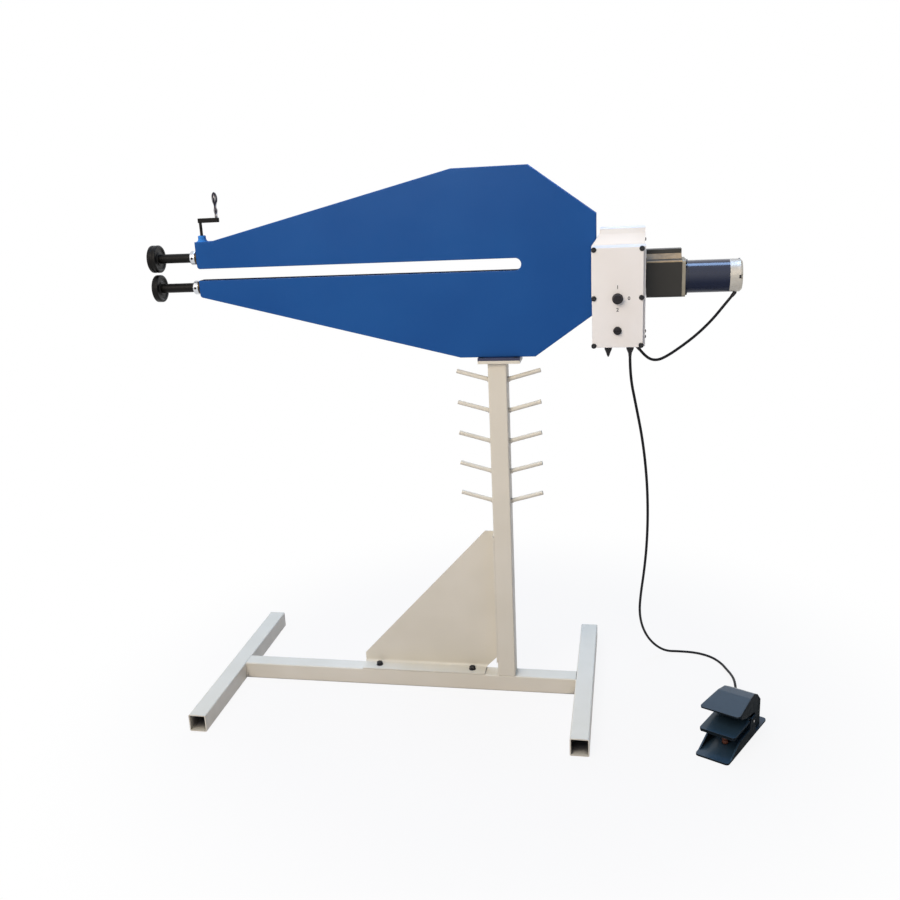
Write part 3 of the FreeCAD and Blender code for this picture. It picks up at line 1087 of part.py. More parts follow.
def cord_tube(points, name):
    """Round tube along straight runs joined by tangent arcs."""
    route = [V(*p) for p in points]
    edges = []
    start = route[0]
    radii = []
    for before, here, after in zip(route, route[1:], route[2:]):
        run_in = (here - before).Length
        run_out = (after - here).Length
        into = (here - before).normalize()
        out = (after - here).normalize()
        half_turn = into.getAngle(out) / 2
        reach = 0.45 * min(run_in, run_out)
        radius = reach / math.tan(half_turn)
        radii.append(radius)
        first = here - into * reach
        last = here + out * reach
        centre_way = (out - into).normalize()
        centre = here + centre_way * math.hypot(radius, reach)
        middle = centre - centre_way * radius
        edges.append(Part.makeLine(start, first))
        edges.append(Part.Arc(first, middle, last).toShape())
        start = last
    edges.append(Part.makeLine(start, route[-1]))
    path = Part.Wire(edges)
    ring = Part.Wire(Part.makeCircle(CORD_R, route[0], route[1] - route[0]))
    tube = path.makePipeShell([ring], True, False)
    wanted = math.pi * CORD_R ** 2 * path.Length
    print(name, "length", round(path.Length), "least radius", round(min(radii)),
          "volume ratio", round(tube.Volume / wanted, 4))
    return tube


# ---------------------------------------------------------------- foot switch

def on_pedal(shape):
    """Sets a piece made in the foot switch's own axes in its place on the floor."""
    placed = shape.copy()
    turn = FreeCAD.Placement(V(PEDAL_X, PEDAL_Y, 0), FreeCAD.Rotation(Z_AXIS, PEDAL_TURN))
    placed.Placement = turn.multiply(placed.Placement)
    return placed


def pedal_base():
    """Base plate with rounded corners and two rising cheeks for the treadle's pin."""
    half = PEDAL_WIDTH / 2
    base = block((-half, half), (PEDAL_FRONT_Y, PEDAL_BACK_Y), (0, PEDAL_BASE_T))
    upright = [e for e in base.Edges if abs(e.tangentAt(e.FirstParameter).z) > 0.9]
    base = base.makeFillet(PEDAL_CORNER_R, upright)
    ramp_y = CHEEK_FRONT_Y + CHEEK_RAMP[0]
    ramp_z = PEDAL_BASE_T + CHEEK_RAMP[1]
    ear_z = TREADLE_PIN_Z + EAR_TOP
    ear_y = (TREADLE_PIN_Y - CHEEK_EAR[0], TREADLE_PIN_Y + CHEEK_EAR[1])
    outline = [V(0, CHEEK_FRONT_Y, PEDAL_BASE_T), V(0, ramp_y, ramp_z), V(0, ear_y[0] - 8, ramp_z),
               V(0, ear_y[0], ear_z), V(0, ear_y[1], ear_z), V(0, ear_y[1] + 6, PEDAL_BASE_T)]
    for x in (-half, half - CHEEK_T):
        cheek = prism(outline, V(CHEEK_T, 0, 0))
        cheek.translate(V(x, 0, 0))
        base = base.fuse(cheek)
    pin_hole = rod(V(-half, TREADLE_PIN_Y, TREADLE_PIN_Z), X_AXIS, TREADLE_PIN_R, PEDAL_WIDTH)
    return on_pedal(base.cut(pin_hole).removeSplitter())


def treadle_pin():
    reach = PEDAL_WIDTH / 2 + PIN_END
    return on_pedal(rod(V(-reach, TREADLE_PIN_Y, TREADLE_PIN_Z), X_AXIS, TREADLE_PIN_R, 2 * reach))


def pedal_treadle():
    """Level pressed plate with a turned-down lip, bent down at the back to a bored boss on the pin."""
    front = TREADLE_FRONT_Y
    top = TREADLE_TOP_Z
    under = top - TREADLE_T
    profile = [V(0, front, top), V(0, TREADLE_BEND_Y, top), V(0, TREADLE_PIN_Y, TREADLE_PIN_Z + TREADLE_BOSS_R),
               V(0, TREADLE_PIN_Y + TREADLE_BOSS_R, TREADLE_PIN_Z), V(0, TREADLE_PIN_Y, TREADLE_PIN_Z - TREADLE_BOSS_R),
               V(0, TREADLE_PIN_Y - TREADLE_BOSS_R, TREADLE_PIN_Z), V(0, TREADLE_BEND_Y, under),
               V(0, front + TREADLE_T, under), V(0, front + TREADLE_T, under - TREADLE_LIP),
               V(0, front, under - TREADLE_LIP)]
    plate_body = prism(profile, V(TREADLE_WIDTH, 0, 0))
    plate_body.translate(V(-TREADLE_WIDTH / 2, 0, 0))
    half = TREADLE_WIDTH / 2
    tail = PEDAL_WIDTH / 2 - CHEEK_T - SIDE_GAP
    back = TREADLE_PIN_Y + TREADLE_BOSS_R + 1
    waist = TREADLE_BEND_Y
    plan = prism([V(-half + 5, front, 0), V(half - 5, front, 0), V(half, front + 6, 0), V(half, waist - 4, 0),
                  V(tail, waist, 0), V(tail, back, 0), V(-tail, back, 0), V(-tail, waist, 0),
                  V(-half, waist - 4, 0), V(-half, front + 6, 0)], V(0, 0, top + 1))
    body = plate_body.common(plan)
    bore = rod(V(-half, TREADLE_PIN_Y, TREADLE_PIN_Z), X_AXIS, TREADLE_PIN_R + RUN, TREADLE_WIDTH)
    return on_pedal(body.cut(bore))


def treadle_buffer():
    """Ribbed rubber buffer that lifts the treadle again."""
    height = TREADLE_TOP_Z - TREADLE_T - PEDAL_BASE_T - SIDE_GAP
    ribs = 4
    profile = [(0, 0)]
    for i in range(ribs):
        profile += [(BUFFER_R, height * (i + 0.15) / ribs), (BUFFER_R, height * (i + 0.6) / ribs),
                    (BUFFER_R * 0.65, height * (i + 0.85) / ribs)]
    profile += [(BUFFER_R * 0.65, height), (0, height)]
    return on_pedal(turned(profile, V(0, BUFFER_Y, PEDAL_BASE_T), Z_AXIS))


def hood_side(inset):
    """Side view of the hood as a closed outline: visor, ridge, shoulder and back wall."""
    front = [V(0, HOOD_FRONT_Y, HOOD_FRONT_Z - inset), V(0, HOOD_RIDGE_Y - 45, HOOD_RIDGE_Z - 2 - inset),
             V(0, HOOD_RIDGE_Y, HOOD_RIDGE_Z - inset), V(0, HOOD_RIDGE_Y + 35, HOOD_RIDGE_Z - 4 - inset),
             V(0, HOOD_SHOULDER_Y - inset * 0.5, HOOD_SHOULDER_Z - inset * 0.8),
             V(0, HOOD_BACK_Y - inset, HOOD_BACK_Z - inset * 0.4)]
    back = [V(0, HOOD_BACK_Y - inset, PEDAL_BASE_T)]
    return front, back


def hood_plan(inset):
    """Plan of the hood as a closed outline: wide at the visor, narrower at the back."""
    front = HOOD_FRONT_W / 2 - inset
    waist = HOOD_WAIST_W / 2 - inset
    rear = HOOD_BACK_W / 2 - inset
    back_y = HOOD_BACK_Y - inset
    right = [(front - 5, HOOD_FRONT_Y - 1), (front, HOOD_FRONT_Y + 7), (waist, HOOD_RIDGE_Y), (rear, HOOD_SHOULDER_Y),
             (rear, back_y - 12), (rear - 10, back_y)]
    left = [(-x, y) for x, y in reversed(right)]
    return [V(x, y, 0) for x, y in right + left]


def pedal_hood():
    """Cast guard over the treadle: a domed visor on side walls and a back wall, open in front."""
    over, back = hood_side(0)
    under, inner_back = hood_side(HOOD_T)
    edge = [V(0, y, z) for y, z in reversed(HOOD_WALL)]
    start = V(0, HOOD_WALL_TOP_Y, HOOD_FRONT_Z - HOOD_T)
    filled = prism(over + back + [V(0, HOOD_WALL_FOOT_Y, PEDAL_BASE_T)] + edge + [start], V(HOOD_FRONT_W, 0, 0))
    sheet = prism(over + back + inner_back + list(reversed(under)), V(HOOD_FRONT_W, 0, 0))
    for solid in (filled, sheet):
        solid.translate(V(-HOOD_FRONT_W / 2, 0, 0))
    plan = prism(hood_plan(0), V(0, 0, HOOD_RIDGE_Z + 1))
    inner_plan = prism(hood_plan(HOOD_T), V(0, 0, HOOD_RIDGE_Z + 1))
    walls = filled.common(plan.cut(inner_plan))
    walls = walls.common(block((-HOOD_FRONT_W, HOOD_FRONT_W), (HOOD_WALL_TOP_Y, HOOD_BACK_Y), (0, HOOD_RIDGE_Z)))
    hood = sheet.common(plan).fuse(walls)
    hole = rod(V(PEDAL_GLAND_LOCAL_X, HOOD_BACK_Y - 30, PEDAL_GLAND_Z), Y_AXIS, CORD_R + 1, 60)
    return on_pedal(hood.cut(hole).removeSplitter())


def pedal_switch():
    """Micro switch under the treadle: a block with a button that the pressed treadle reaches."""
    half = PEDAL_SWITCH_WIDTH / 2
    body = block((-half, half), PEDAL_SWITCH_Y, (PEDAL_BASE_T, PEDAL_SWITCH_TOP))
    middle = (PEDAL_SWITCH_Y[0] + PEDAL_SWITCH_Y[1]) / 2
    button = rod(V(0, middle, PEDAL_SWITCH_TOP), Z_AXIS, 2.5, SWITCH_BUTTON_H)
    return on_pedal(body.fuse(button))


PARTS = {
    "left_foot": lambda: foot(LEFT_FOOT_X),
    "right_foot": lambda: foot(RIGHT_FOOT_X),
    "cross_beam": cross_beam,
    "post": post,
    "post_top_plate": post_top_plate,
    "tool_pegs": tool_pegs,
    "gusset_plate": gusset_plate,
    "frame_bolts": frame_bolts,
    "frame_base_flange": frame_base_flange,
    "flange_screws": flange_screws,
    "frame_front_plate": lambda: side_plate(True),
    "frame_back_plate": lambda: side_plate(False),
    "frame_rim": frame_rim,
    "slot_liner": slot_liner,
    "screw_boss": screw_boss,
    "lower_nose_block": lower_nose_block,
    "lower_shaft_bushes": lower_shaft_bushes,
    "rear_bearing_block": rear_bearing_block,
    "swivel_race": swivel_race,
    "lower_shaft": lower_shaft,
    "lower_gear": lambda: involute_gear(LOWER_SHAFT_Z),
    "lower_collar": lambda: shaft_collar(LOWER_SHAFT_Z),
    "lower_die": lambda: die(LOWER_SHAFT_Z, LOWER_DIE_WIDTH, False),
    "lower_die_nut": lambda: die_nut(LOWER_SHAFT_Z, LOWER_DIE_WIDTH),
    "output_shaft": output_shaft,
    "upper_nose_block": upper_nose_block,
    "upper_nose_bush": upper_nose_bush,
    "swivel_ball": swivel_ball,
    "upper_shaft": lambda: leaned(shaft(UPPER_REAR_Z, GEAR_X + GEAR_WIDTH + HUB_LENGTH, UPPER_DIE_WIDTH)),
    "upper_gear": lambda: leaned(involute_gear(UPPER_REAR_Z)),
    "upper_collar": lambda: leaned(shaft_collar(UPPER_REAR_Z)),
    "upper_die": lambda: leaned(die(UPPER_REAR_Z, UPPER_DIE_WIDTH, True)),
    "upper_die_nut": lambda: leaned(die_nut(UPPER_REAR_Z, UPPER_DIE_WIDTH)),
    "adjusting_screw": adjusting_screw,
    "crank_arm": crank_arm,
    "crank_grip": crank_grip,
    "gear_housing": gear_housing,
    "gear_cover": gear_cover,
    "housing_screws": housing_screws,
    "control_box": control_box,
    "control_box_lid": control_box_lid,
    "lid_screws": lid_screws,
    "rotary_switch": rotary_switch,
    "switch_knob": switch_knob,
    "fuse_holder": fuse_holder,
    "fuse_cap": fuse_cap,
    "cable_glands": cable_glands,
    "gearbox_case": gearbox_case,
    "motor_flange": motor_flange,
    "motor_screws": motor_screws,
    "motor_body": motor_body,
    "motor_end_cap": motor_end_cap,
    "motor_cable": lambda: cord_tube(MOTOR_CABLE, "motor cable"),
    "pedal_cord": lambda: cord_tube(PEDAL_CORD, "pedal cord"),
    "pedal_base": pedal_base,
    "treadle_pin": treadle_pin,
    "pedal_treadle": pedal_treadle,
    "treadle_buffer": treadle_buffer,
    "pedal_hood": pedal_hood,
    "pedal_switch": pedal_switch,
}

os.makedirs("parts", exist_ok=True)
for node, make in PARTS.items():
    save(make(), node)
print(len(PARTS), "sub-parts")
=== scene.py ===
import json
import math
import random

import bpy
import bmesh
from mathutils import Matrix, Vector


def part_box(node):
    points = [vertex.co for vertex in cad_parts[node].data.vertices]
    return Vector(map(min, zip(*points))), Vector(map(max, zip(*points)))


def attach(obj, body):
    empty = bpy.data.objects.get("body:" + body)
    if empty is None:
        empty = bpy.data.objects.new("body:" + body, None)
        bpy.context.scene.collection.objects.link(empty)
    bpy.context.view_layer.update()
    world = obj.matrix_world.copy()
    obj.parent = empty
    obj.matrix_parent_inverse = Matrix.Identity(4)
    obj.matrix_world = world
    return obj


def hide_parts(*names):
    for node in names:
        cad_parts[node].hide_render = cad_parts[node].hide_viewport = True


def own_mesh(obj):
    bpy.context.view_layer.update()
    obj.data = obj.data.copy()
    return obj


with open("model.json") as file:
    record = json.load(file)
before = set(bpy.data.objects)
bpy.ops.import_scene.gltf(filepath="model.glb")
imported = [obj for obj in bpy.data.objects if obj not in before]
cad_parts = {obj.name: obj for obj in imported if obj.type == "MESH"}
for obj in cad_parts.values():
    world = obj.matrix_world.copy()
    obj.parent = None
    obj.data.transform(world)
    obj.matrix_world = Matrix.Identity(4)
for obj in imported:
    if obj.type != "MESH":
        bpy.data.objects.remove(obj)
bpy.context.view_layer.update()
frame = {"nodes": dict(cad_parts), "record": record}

MM = 0.001
NODES = frame["nodes"]
CHANCE = random.Random(7)       # the unevenness of the weld beads


# ---------------------------------------------------------------- camera

CAMERA_PLACE = (0.33567, -2.52095, 1.44539)
CAMERA_YAW, CAMERA_PITCH, CAMERA_ROLL = (math.radians(angle) for angle in (-11.97, 16.57, 3.06))
CAMERA_LENS = 38.835
CAMERA_SHIFT = (0.0223, 0.0162)


def add_camera():
    """Stands in front of the machine, to the right of the post, and looks down on it a little."""
    forward = Vector((math.sin(CAMERA_YAW) * math.cos(CAMERA_PITCH), math.cos(CAMERA_YAW) * math.cos(CAMERA_PITCH),
                      -math.sin(CAMERA_PITCH)))
    level_right = Vector((math.cos(CAMERA_YAW), -math.sin(CAMERA_YAW), 0))
    level_up = level_right.cross(forward)
    right = math.cos(CAMERA_ROLL) * level_right - math.sin(CAMERA_ROLL) * level_up
    up = math.sin(CAMERA_ROLL) * level_right + math.cos(CAMERA_ROLL) * level_up
    data = bpy.data.cameras.new("camera")
    data.lens = CAMERA_LENS
    data.shift_x, data.shift_y = CAMERA_SHIFT
    camera = bpy.data.objects.new("camera", data)
    bpy.context.collection.objects.link(camera)
    turn = Matrix((right, up, -forward)).transposed().to_4x4()
    camera.matrix_world = Matrix.Translation(Vector(CAMERA_PLACE)) @ turn
    bpy.context.scene.camera = camera


add_camera()


# ---------------------------------------------------------------- making materials

UP = (0.0, 0.0, 1.0)
MIX_COLOURS, MIX_RESULT = (6, 7), 2     # the Mix node's colour sockets


def linear(code):
    """sRGB hex to a linear colour."""
    def channel(value):
        return value / 12.92 if value <= 0.04045 else ((value + 0.055) / 1.055) ** 2.4
    return tuple(channel(int(code[i:i + 2], 16) / 255) for i in (0, 2, 4)) + (1.0,)


def add(tree, kind, inputs=None, **settings):
    """Adds a node with its settings. An input is a value, an output, or a node, which gives its first output."""
    node = tree.nodes.new("ShaderNode" + kind)
    for name, value in settings.items():
        setattr(node, name, value)
    for socket, value in (inputs or {}).items():
        if isinstance(value, bpy.types.Node):
            value = value.outputs[0]
        if isinstance(value, bpy.types.NodeSocket):
            tree.links.new(value, node.inputs[socket])
        else:
            node.inputs[socket].default_value = value
    return node


class Finish:
    """A material in the making: its tree, the surface's place in metres, and its normal with softened edges."""

    def __init__(self, name, edge):
        self.material = bpy.data.materials.new(name)
        self.material.use_nodes = True
        self.tree = self.material.node_tree
        self.tree.nodes.clear()
        self.place = add(self.tree, "TexCoord").outputs["Object"]
        self.normal = add(self.tree, "Bevel", {"Radius": edge}, samples=4)

    def cloud(self, size, detail, fineness=0.5, stretch=(1.0, 1.0, 1.0), between=None, to=(0.0, 1.0)):
        """Soft patches from 0 to 1, size in metres, longer along an axis where stretch is small.

        With between, that part of their range is spread smoothly over the range of to.
        """
        place = add(self.tree, "Mapping", {"Vector": self.place, "Scale": stretch})
        patches = add(self.tree, "TexNoise", {"Vector": place, "Scale": 1 / size, "Detail": detail,
                                              "Roughness": fineness})
        if between is None:
            return patches
        return add(self.tree, "MapRange", {"Value": patches, "From Min": between[0], "From Max": between[1],
                                           "To Min": to[0], "To Max": to[1]}, interpolation_type="SMOOTHSTEP")

    def worn(self, size, detail, low, high):
        """Roughness that drifts between two values over patches of a size in metres."""
        return self.cloud(size, detail, between=(0.3, 0.7), to=(low, high))

    def over(self, colour, where, code, share=1.0):
        """Lays a share of a second colour over the first, as far as the mask is 1."""
        mask = add(self.tree, "Math", {0: where, 1: share}, operation="MULTIPLY")
        first, second = MIX_COLOURS
        mixed = add(self.tree, "Mix", {"Factor": mask, first: colour, second: linear(code)}, data_type="RGBA")
        return mixed.outputs[MIX_RESULT]

    def facing(self, way, low, high):
        """0 to 1 as the flat surface turns to face a direction, between two cosines."""
        flat = add(self.tree, "NewGeometry").outputs["Normal"]
        cosine = add(self.tree, "VectorMath", {0: flat, 1: way}, operation="DOT_PRODUCT").outputs["Value"]
        return add(self.tree, "MapRange", {"Value": cosine, "From Min": low, "From Max": high},
                   interpolation_type="SMOOTHSTEP")

    def edges(self, width):
        """1 along sharp edges, a width in metres wide, and 0 elsewhere."""
        rounded = add(self.tree, "Bevel", {"Radius": width}, samples=4)
        return self.facing(rounded.outputs["Normal"], 0.995, 0.86)

    def hollows(self, reach, open_air=0.85, shut=0.35):
        """1 in corners and creases within a reach in metres, where the air around is nearly shut out."""
        air = add(self.tree, "AmbientOcclusion", {"Distance": reach}, samples=8).outputs["AO"]
        return add(self.tree, "MapRange", {"Value": air, "From Min": open_air, "From Max": shut},
                   interpolation_type="SMOOTHSTEP")

    def emboss(self, depth, size, detail, **shape):
        """Raises patches of a size by a depth, both in metres."""
        self.normal = add(self.tree, "Bump", {"Height": self.cloud(size, detail, **shape), "Distance": depth,
                                              "Strength": 1.0, "Normal": self.normal})

    def done(self, colour, roughness, metallic=0.0, specular=0.5, coat=0.0, coat_roughness=0.03):
        shader = add(self.tree, "BsdfPrincipled", {
            "Base Color": colour, "Roughness": roughness, "Metallic": metallic, "Normal": self.normal,
            "Specular IOR Level": specular, "Coat Weight": coat, "Coat Roughness": coat_roughness})
        add(self.tree, "OutputMaterial", {"Surface": shader})
        return self.material


# ---------------------------------------------------------------- finishes

# Grain, casting skin and tool marks that are finer than about half a millimetre on the real surfaces are drawn
# 0.4 to 1.1 mm wide, so that they show. Orange peel and hammered paint have their real size of 2 to 3 mm.

def blue_powder_coat():
    """Powder coat baked on welded sheet: glossy, with a faint orange peel of 2.2 mm, a painted highlight of paler blue
    along its edges and painted shade in its corners.
    """
    finish = Finish("blue_powder_coat", edge=1.4 * MM)
    colour = finish.over(linear("124886"), finish.cloud(260 * MM, 1.0, between=(0.3, 0.7)), "164D8B")
    # Painted highlight: paler blue along the edges.
    colour = finish.over(colour, finish.edges(2.2 * MM), "2F76C2", 0.6)
    # Painted shade: darker blue in corners and creases.
    colour = finish.over(colour, finish.hollows(12 * MM), "0E2C54", 0.6)
    finish.emboss(0.03 * MM, 2.2 * MM, 1.0)
    return finish.done(colour, finish.worn(30 * MM, 3.0, 0.30, 0.42), specular=0.16)


def blue_rim_coat():
    """The same powder coat on the narrow rim, where it is thin and chalky: matt, in darker stretches and brighter
    stretches that are painted highlights.
    """
    finish = Finish("blue_rim_coat", edge=1.0 * MM)
    # Painted highlight: brighter blue stretches where the rim and boss catch the light.
    colour = finish.over(linear("1A4A8C"), finish.cloud(130 * MM, 1.0, between=(0.42, 0.62)), "3B82CC")
    finish.emboss(0.03 * MM, 2.2 * MM, 1.0)
    return finish.done(colour, 0.7, specular=0.08)


def shaded_throat_coat():
    """Powder coat in the throat, drawn matt blue-black as painted shade for the inside of the narrow slot."""
    finish = Finish("shaded_throat_coat", edge=0.5 * MM)
    # Painted shade: the throat's blue drawn near black.
    colour = finish.over(linear("121427"), finish.cloud(40 * MM, 4.0, between=(0.3, 0.7)), "1B2038")
    finish.emboss(0.03 * MM, 2.2 * MM, 1.0)
    return finish.done(colour, 0.8, specular=0.0)


def cream_enamel():
    """Satin enamel sprayed on welded tube: even, slightly dusty, rubbed along the edges, with painted shade in its
    corners and near-black painted shade inside the tube ends.
    """
    finish = Finish("cream_enamel", edge=0.8 * MM)
    colour = finish.over(linear("D2CAB8"), finish.cloud(180 * MM, 2.0, between=(0.3, 0.7)), "D8D0BF")
    scuffs = add(finish.tree, "Math", {0: finish.edges(1.6 * MM), 1: finish.cloud(9 * MM, 4.0, between=(0.45, 0.62))},
                 operation="MULTIPLY")
    colour = finish.over(colour, scuffs, "B3A68F", 0.6)
    # Painted shade: greyer in corners and creases.
    colour = finish.over(colour, finish.hollows(14 * MM), "9C9282", 0.4)
    # Painted shade: near black deep inside the open tube ends.
    colour = finish.over(colour, finish.hollows(60 * MM, open_air=0.36, shut=0.2), "34343F")
    finish.emboss(0.025 * MM, 2.5 * MM, 1.0)
    return finish.done(colour, finish.worn(40 * MM, 3.0, 0.38, 0.52))


def fine_texture_coat():
    """Fine-textured powder coat, as on sheet-metal enclosures: matt, its grain drawn coarser than it is, with painted
    shade in its corners.
    """
    finish = Finish("fine_texture_coat", edge=0.6 * MM)
    colour = finish.over(linear("E6E0D9"), finish.cloud(120 * MM, 2.0, between=(0.3, 0.7)), "E9E4DE")
    # Painted shade: a little darker in corners and creases.
    colour = finish.over(colour, finish.hollows(6 * MM), "A79F92", 0.25)
    finish.emboss(0.07 * MM, 1.1 * MM, 2.0, fineness=0.6)
    return finish.done(colour, finish.cloud(1.1 * MM, 2.0, fineness=0.6, between=(0.3, 0.7), to=(0.50, 0.66)))


def blackened_steel():
    """Turned steel, blackened and oiled: dark, with turning marks and a soft sheen on worn rims."""
    finish = Finish("blackened_steel", edge=0.5 * MM)
    colour = finish.over(linear("0B0B0C"), finish.cloud(14 * MM, 4.0), "171513")
    colour = finish.over(colour, finish.edges(0.9 * MM), "4A4846", 0.4)
    finish.emboss(0.02 * MM, 0.5 * MM, 1.0, stretch=(1.0, 0.02, 0.02))
    return finish.done(colour, finish.worn(20 * MM, 3.0, 0.34, 0.50), metallic=0.75)


def black_oxide():
    """Black-oxide fasteners: lighter than the shafts and drier, with bright corners where tools have gripped."""
    finish = Finish("black_oxide", edge=0.3 * MM)
    colour = finish.over(linear("17171A"), finish.cloud(5 * MM, 3.0), "26262A")
    colour = finish.over(colour, finish.edges(0.5 * MM), "6B6A68", 0.6)
    finish.emboss(0.01 * MM, 0.6 * MM, 2.0)
    return finish.done(colour, finish.worn(6 * MM, 2.0, 0.32, 0.48), metallic=0.6)


def zinc_plate():
    """Bright zinc on a turned collar: bluish silver with faint cloudy spangle and painted shade in its corners."""
    finish = Finish("zinc_plate", edge=0.5 * MM)
    colour = finish.over(linear("C3C6CC"), finish.cloud(6 * MM, 3.0), "DADBDD")
    # Painted shade: darker in corners.
    colour = finish.over(colour, finish.hollows(5 * MM), "6A675F", 0.7)
    finish.emboss(0.015 * MM, 0.4 * MM, 1.0, stretch=(1.0, 0.03, 0.03))
    return finish.done(colour, finish.worn(9 * MM, 3.0, 0.22, 0.36), metallic=1.0)


def chrome_plate():
    """Polished chrome on the turned grip: near mirror with smeared gloss, its colour painted in dark and bright bands
    along its length as a painted reflection.
    """
    finish = Finish("chrome_plate", edge=0.3 * MM)
    # Painted reflection: dark and bright bands along the grip stand for the studio mirrored in the chrome.
    painted_reflection_bands = finish.cloud(7 * MM, 3.0, fineness=0.55, stretch=(1.0, 1.0, 0.05), between=(0.42, 0.58))
    colour = finish.over(linear("2E2C33"), painted_reflection_bands, "C4C2C2")
    smears = finish.cloud(4 * MM, 5.0, fineness=0.7, between=(0.45, 0.75), to=(0.08, 0.20))
    return finish.done(colour, smears, metallic=1.0)


def machined_steel():
    """Milled or ground bare steel: cutter marks about 0.6 mm apart under a film of oil, with painted shade in its
    corners.
    """
    finish = Finish("machined_steel", edge=0.4 * MM)
    colour = finish.over(linear("8F8C87"), finish.cloud(10 * MM, 4.0), "B0AEAA")
    # Painted shade: dark in corners and recesses.
    colour = finish.over(colour, finish.hollows(5 * MM), "3A352D", 0.8)
    finish.emboss(0.02 * MM, 0.6 * MM, 1.0, stretch=(1.0, 0.05, 0.6))
    return finish.done(colour, finish.worn(8 * MM, 3.0, 0.28, 0.42), metallic=1.0)


def bearing_bronze():
    """Turned bearing bronze: warm brown metal with fine turning lines."""
    finish = Finish("bearing_bronze", edge=0.3 * MM)
    colour = finish.over(linear("3F3629"), finish.cloud(6 * MM, 3.0), "564A37")
    finish.emboss(0.015 * MM, 0.4 * MM, 1.0, stretch=(1.0, 0.03, 0.03))
    return finish.done(colour, 0.34, metallic=1.0)


def gearbox_enamel():
    """Satin black paint on an aluminium casting: its top is darker as painted shade, its upward slope is tan as a
    painted highlight, and its edges are paler, partly rubbed grey and partly a painted highlight.
    """
    finish = Finish("gearbox_enamel", edge=1.0 * MM)
    colour = finish.over(linear("262420"), finish.cloud(60 * MM, 2.0), "2C2A26")
    # Painted shade: faces that look straight up are darker.
    colour = finish.over(colour, finish.facing(UP, 0.9, 0.99), "171512")
    # Painted highlight: the upward slope in patchy warm tan.
    painted_slope_highlight = add(finish.tree, "Math", {0: finish.facing((0.0, -0.71, 0.71), 0.88, 0.96),
                                      1: finish.cloud(14 * MM, 3.0, between=(0.2, 0.6), to=(0.6, 1.0))},
                operation="MULTIPLY")
    colour = finish.over(colour, painted_slope_highlight, "A58A62")
    # Edges paler grey: rubbed paint and a painted highlight.
    colour = finish.over(colour, finish.edges(1.5 * MM), "8C8273", 0.5)
    finish.emboss(0.03 * MM, 1.6 * MM, 2.0)
    return finish.done(colour, finish.worn(25 * MM, 3.0, 0.38, 0.5), specular=0.3)


def cast_aluminium(name, low, high):
    """Die-cast aluminium, machined flat and left bare: warm grey with a fine cast skin and painted shade in its
    corners.
    """
    finish = Finish(name, edge=0.6 * MM)
    colour = finish.over(linear(low), finish.cloud(12 * MM, 4.0), high)
    # Painted shade: darker in corners and creases.
    colour = finish.over(colour, finish.hollows(6 * MM), "5F5A50", 0.7)
    finish.emboss(0.03 * MM, 0.9 * MM, 3.0)
    return finish.done(colour, finish.worn(10 * MM, 3.0, 0.38, 0.52), metallic=0.85)


def motor_gloss():
    """Blue-black gloss paint on a rolled steel motor shell: it shines above and has gone dull underneath."""
    finish = Finish("motor_gloss", edge=0.5 * MM)
    colour = finish.over(linear("11182E"), finish.cloud(50 * MM, 2.0), "172038")
    finish.emboss(0.02 * MM, 3.0 * MM, 1.0)
    gloss = add(finish.tree, "Math", {0: finish.facing(UP, -0.4, 0.3), 1: 0.9}, operation="MULTIPLY")
    return finish.done(colour, finish.worn(30 * MM, 3.0, 0.22, 0.32), specular=0.15, coat=gloss, coat_roughness=0.12)


def moulded_black():
    """Moulded black plastic: fine sparked texture and a dull gloss."""
    finish = Finish("moulded_black", edge=0.5 * MM)
    colour = finish.over(linear("171518"), finish.cloud(8 * MM, 2.0), "211E22")
    finish.emboss(0.02 * MM, 0.7 * MM, 2.0)
    return finish.done(colour, finish.worn(5 * MM, 2.0, 0.38, 0.5), specular=0.25)


def hammered_grey(name, edge):
    """Dark blue-grey stoving paint on castings: shoes polish its tops and its sides stay dull; its sides and hollows
    are darker as painted shade, and its edges paler, scuffed by shoes and also a painted highlight.
    """
    finish = Finish(name, edge)
    colour = finish.over(linear("283A48"), finish.cloud(40 * MM, 3.0), "314450")
    # Painted shade: faces that turn away from above are darker.
    colour = finish.over(colour, finish.facing(UP, 0.9, 0.3), "10171B")
    # Edges paler: scuffed by shoes and a painted highlight.
    colour = finish.over(colour, finish.edges(2.0 * MM), "5E6A78", 0.35)
    # Painted shade: near black in hollows and creases.
    colour = finish.over(colour, finish.hollows(14 * MM), "0E1417", 0.8)
    finish.emboss(0.06 * MM, 2.4 * MM, 2.0)
    polish = add(finish.tree, "Math", {0: finish.facing(UP, 0.3, 0.8), 1: 0.45}, operation="MULTIPLY")
    dull = add(finish.tree, "Math", {0: finish.facing(UP, 0.8, 0.3), 1: 0.4}, operation="MULTIPLY")
    rough = add(finish.tree, "Math", {0: finish.worn(12 * MM, 3.0, 0.28, 0.42), 1: dull}, operation="ADD")
    return finish.done(colour, rough, specular=0.05, coat=polish, coat_roughness=0.22)


def cable_sheath():
    """Extruded black PVC cable sheath: smooth, slightly dusty, semi-matt."""
    finish = Finish("cable_sheath", edge=0.2 * MM)
    colour = finish.over(linear("101013"), finish.cloud(15 * MM, 3.0), "1A1A1D")
    finish.emboss(0.01 * MM, 1.0 * MM, 1.0)
    return finish.done(colour, finish.worn(12 * MM, 2.0, 0.42, 0.55), specular=0.1)


def red_brown_rubber():
    """Moulded red-brown rubber with a dull bloom."""
    finish = Finish("red_brown_rubber", edge=0.5 * MM)
    colour = finish.over(linear("5A2C1C"), finish.cloud(5 * MM, 3.0), "6B3824")
    finish.emboss(0.02 * MM, 0.8 * MM, 2.0)
    return finish.done(colour, 0.65)


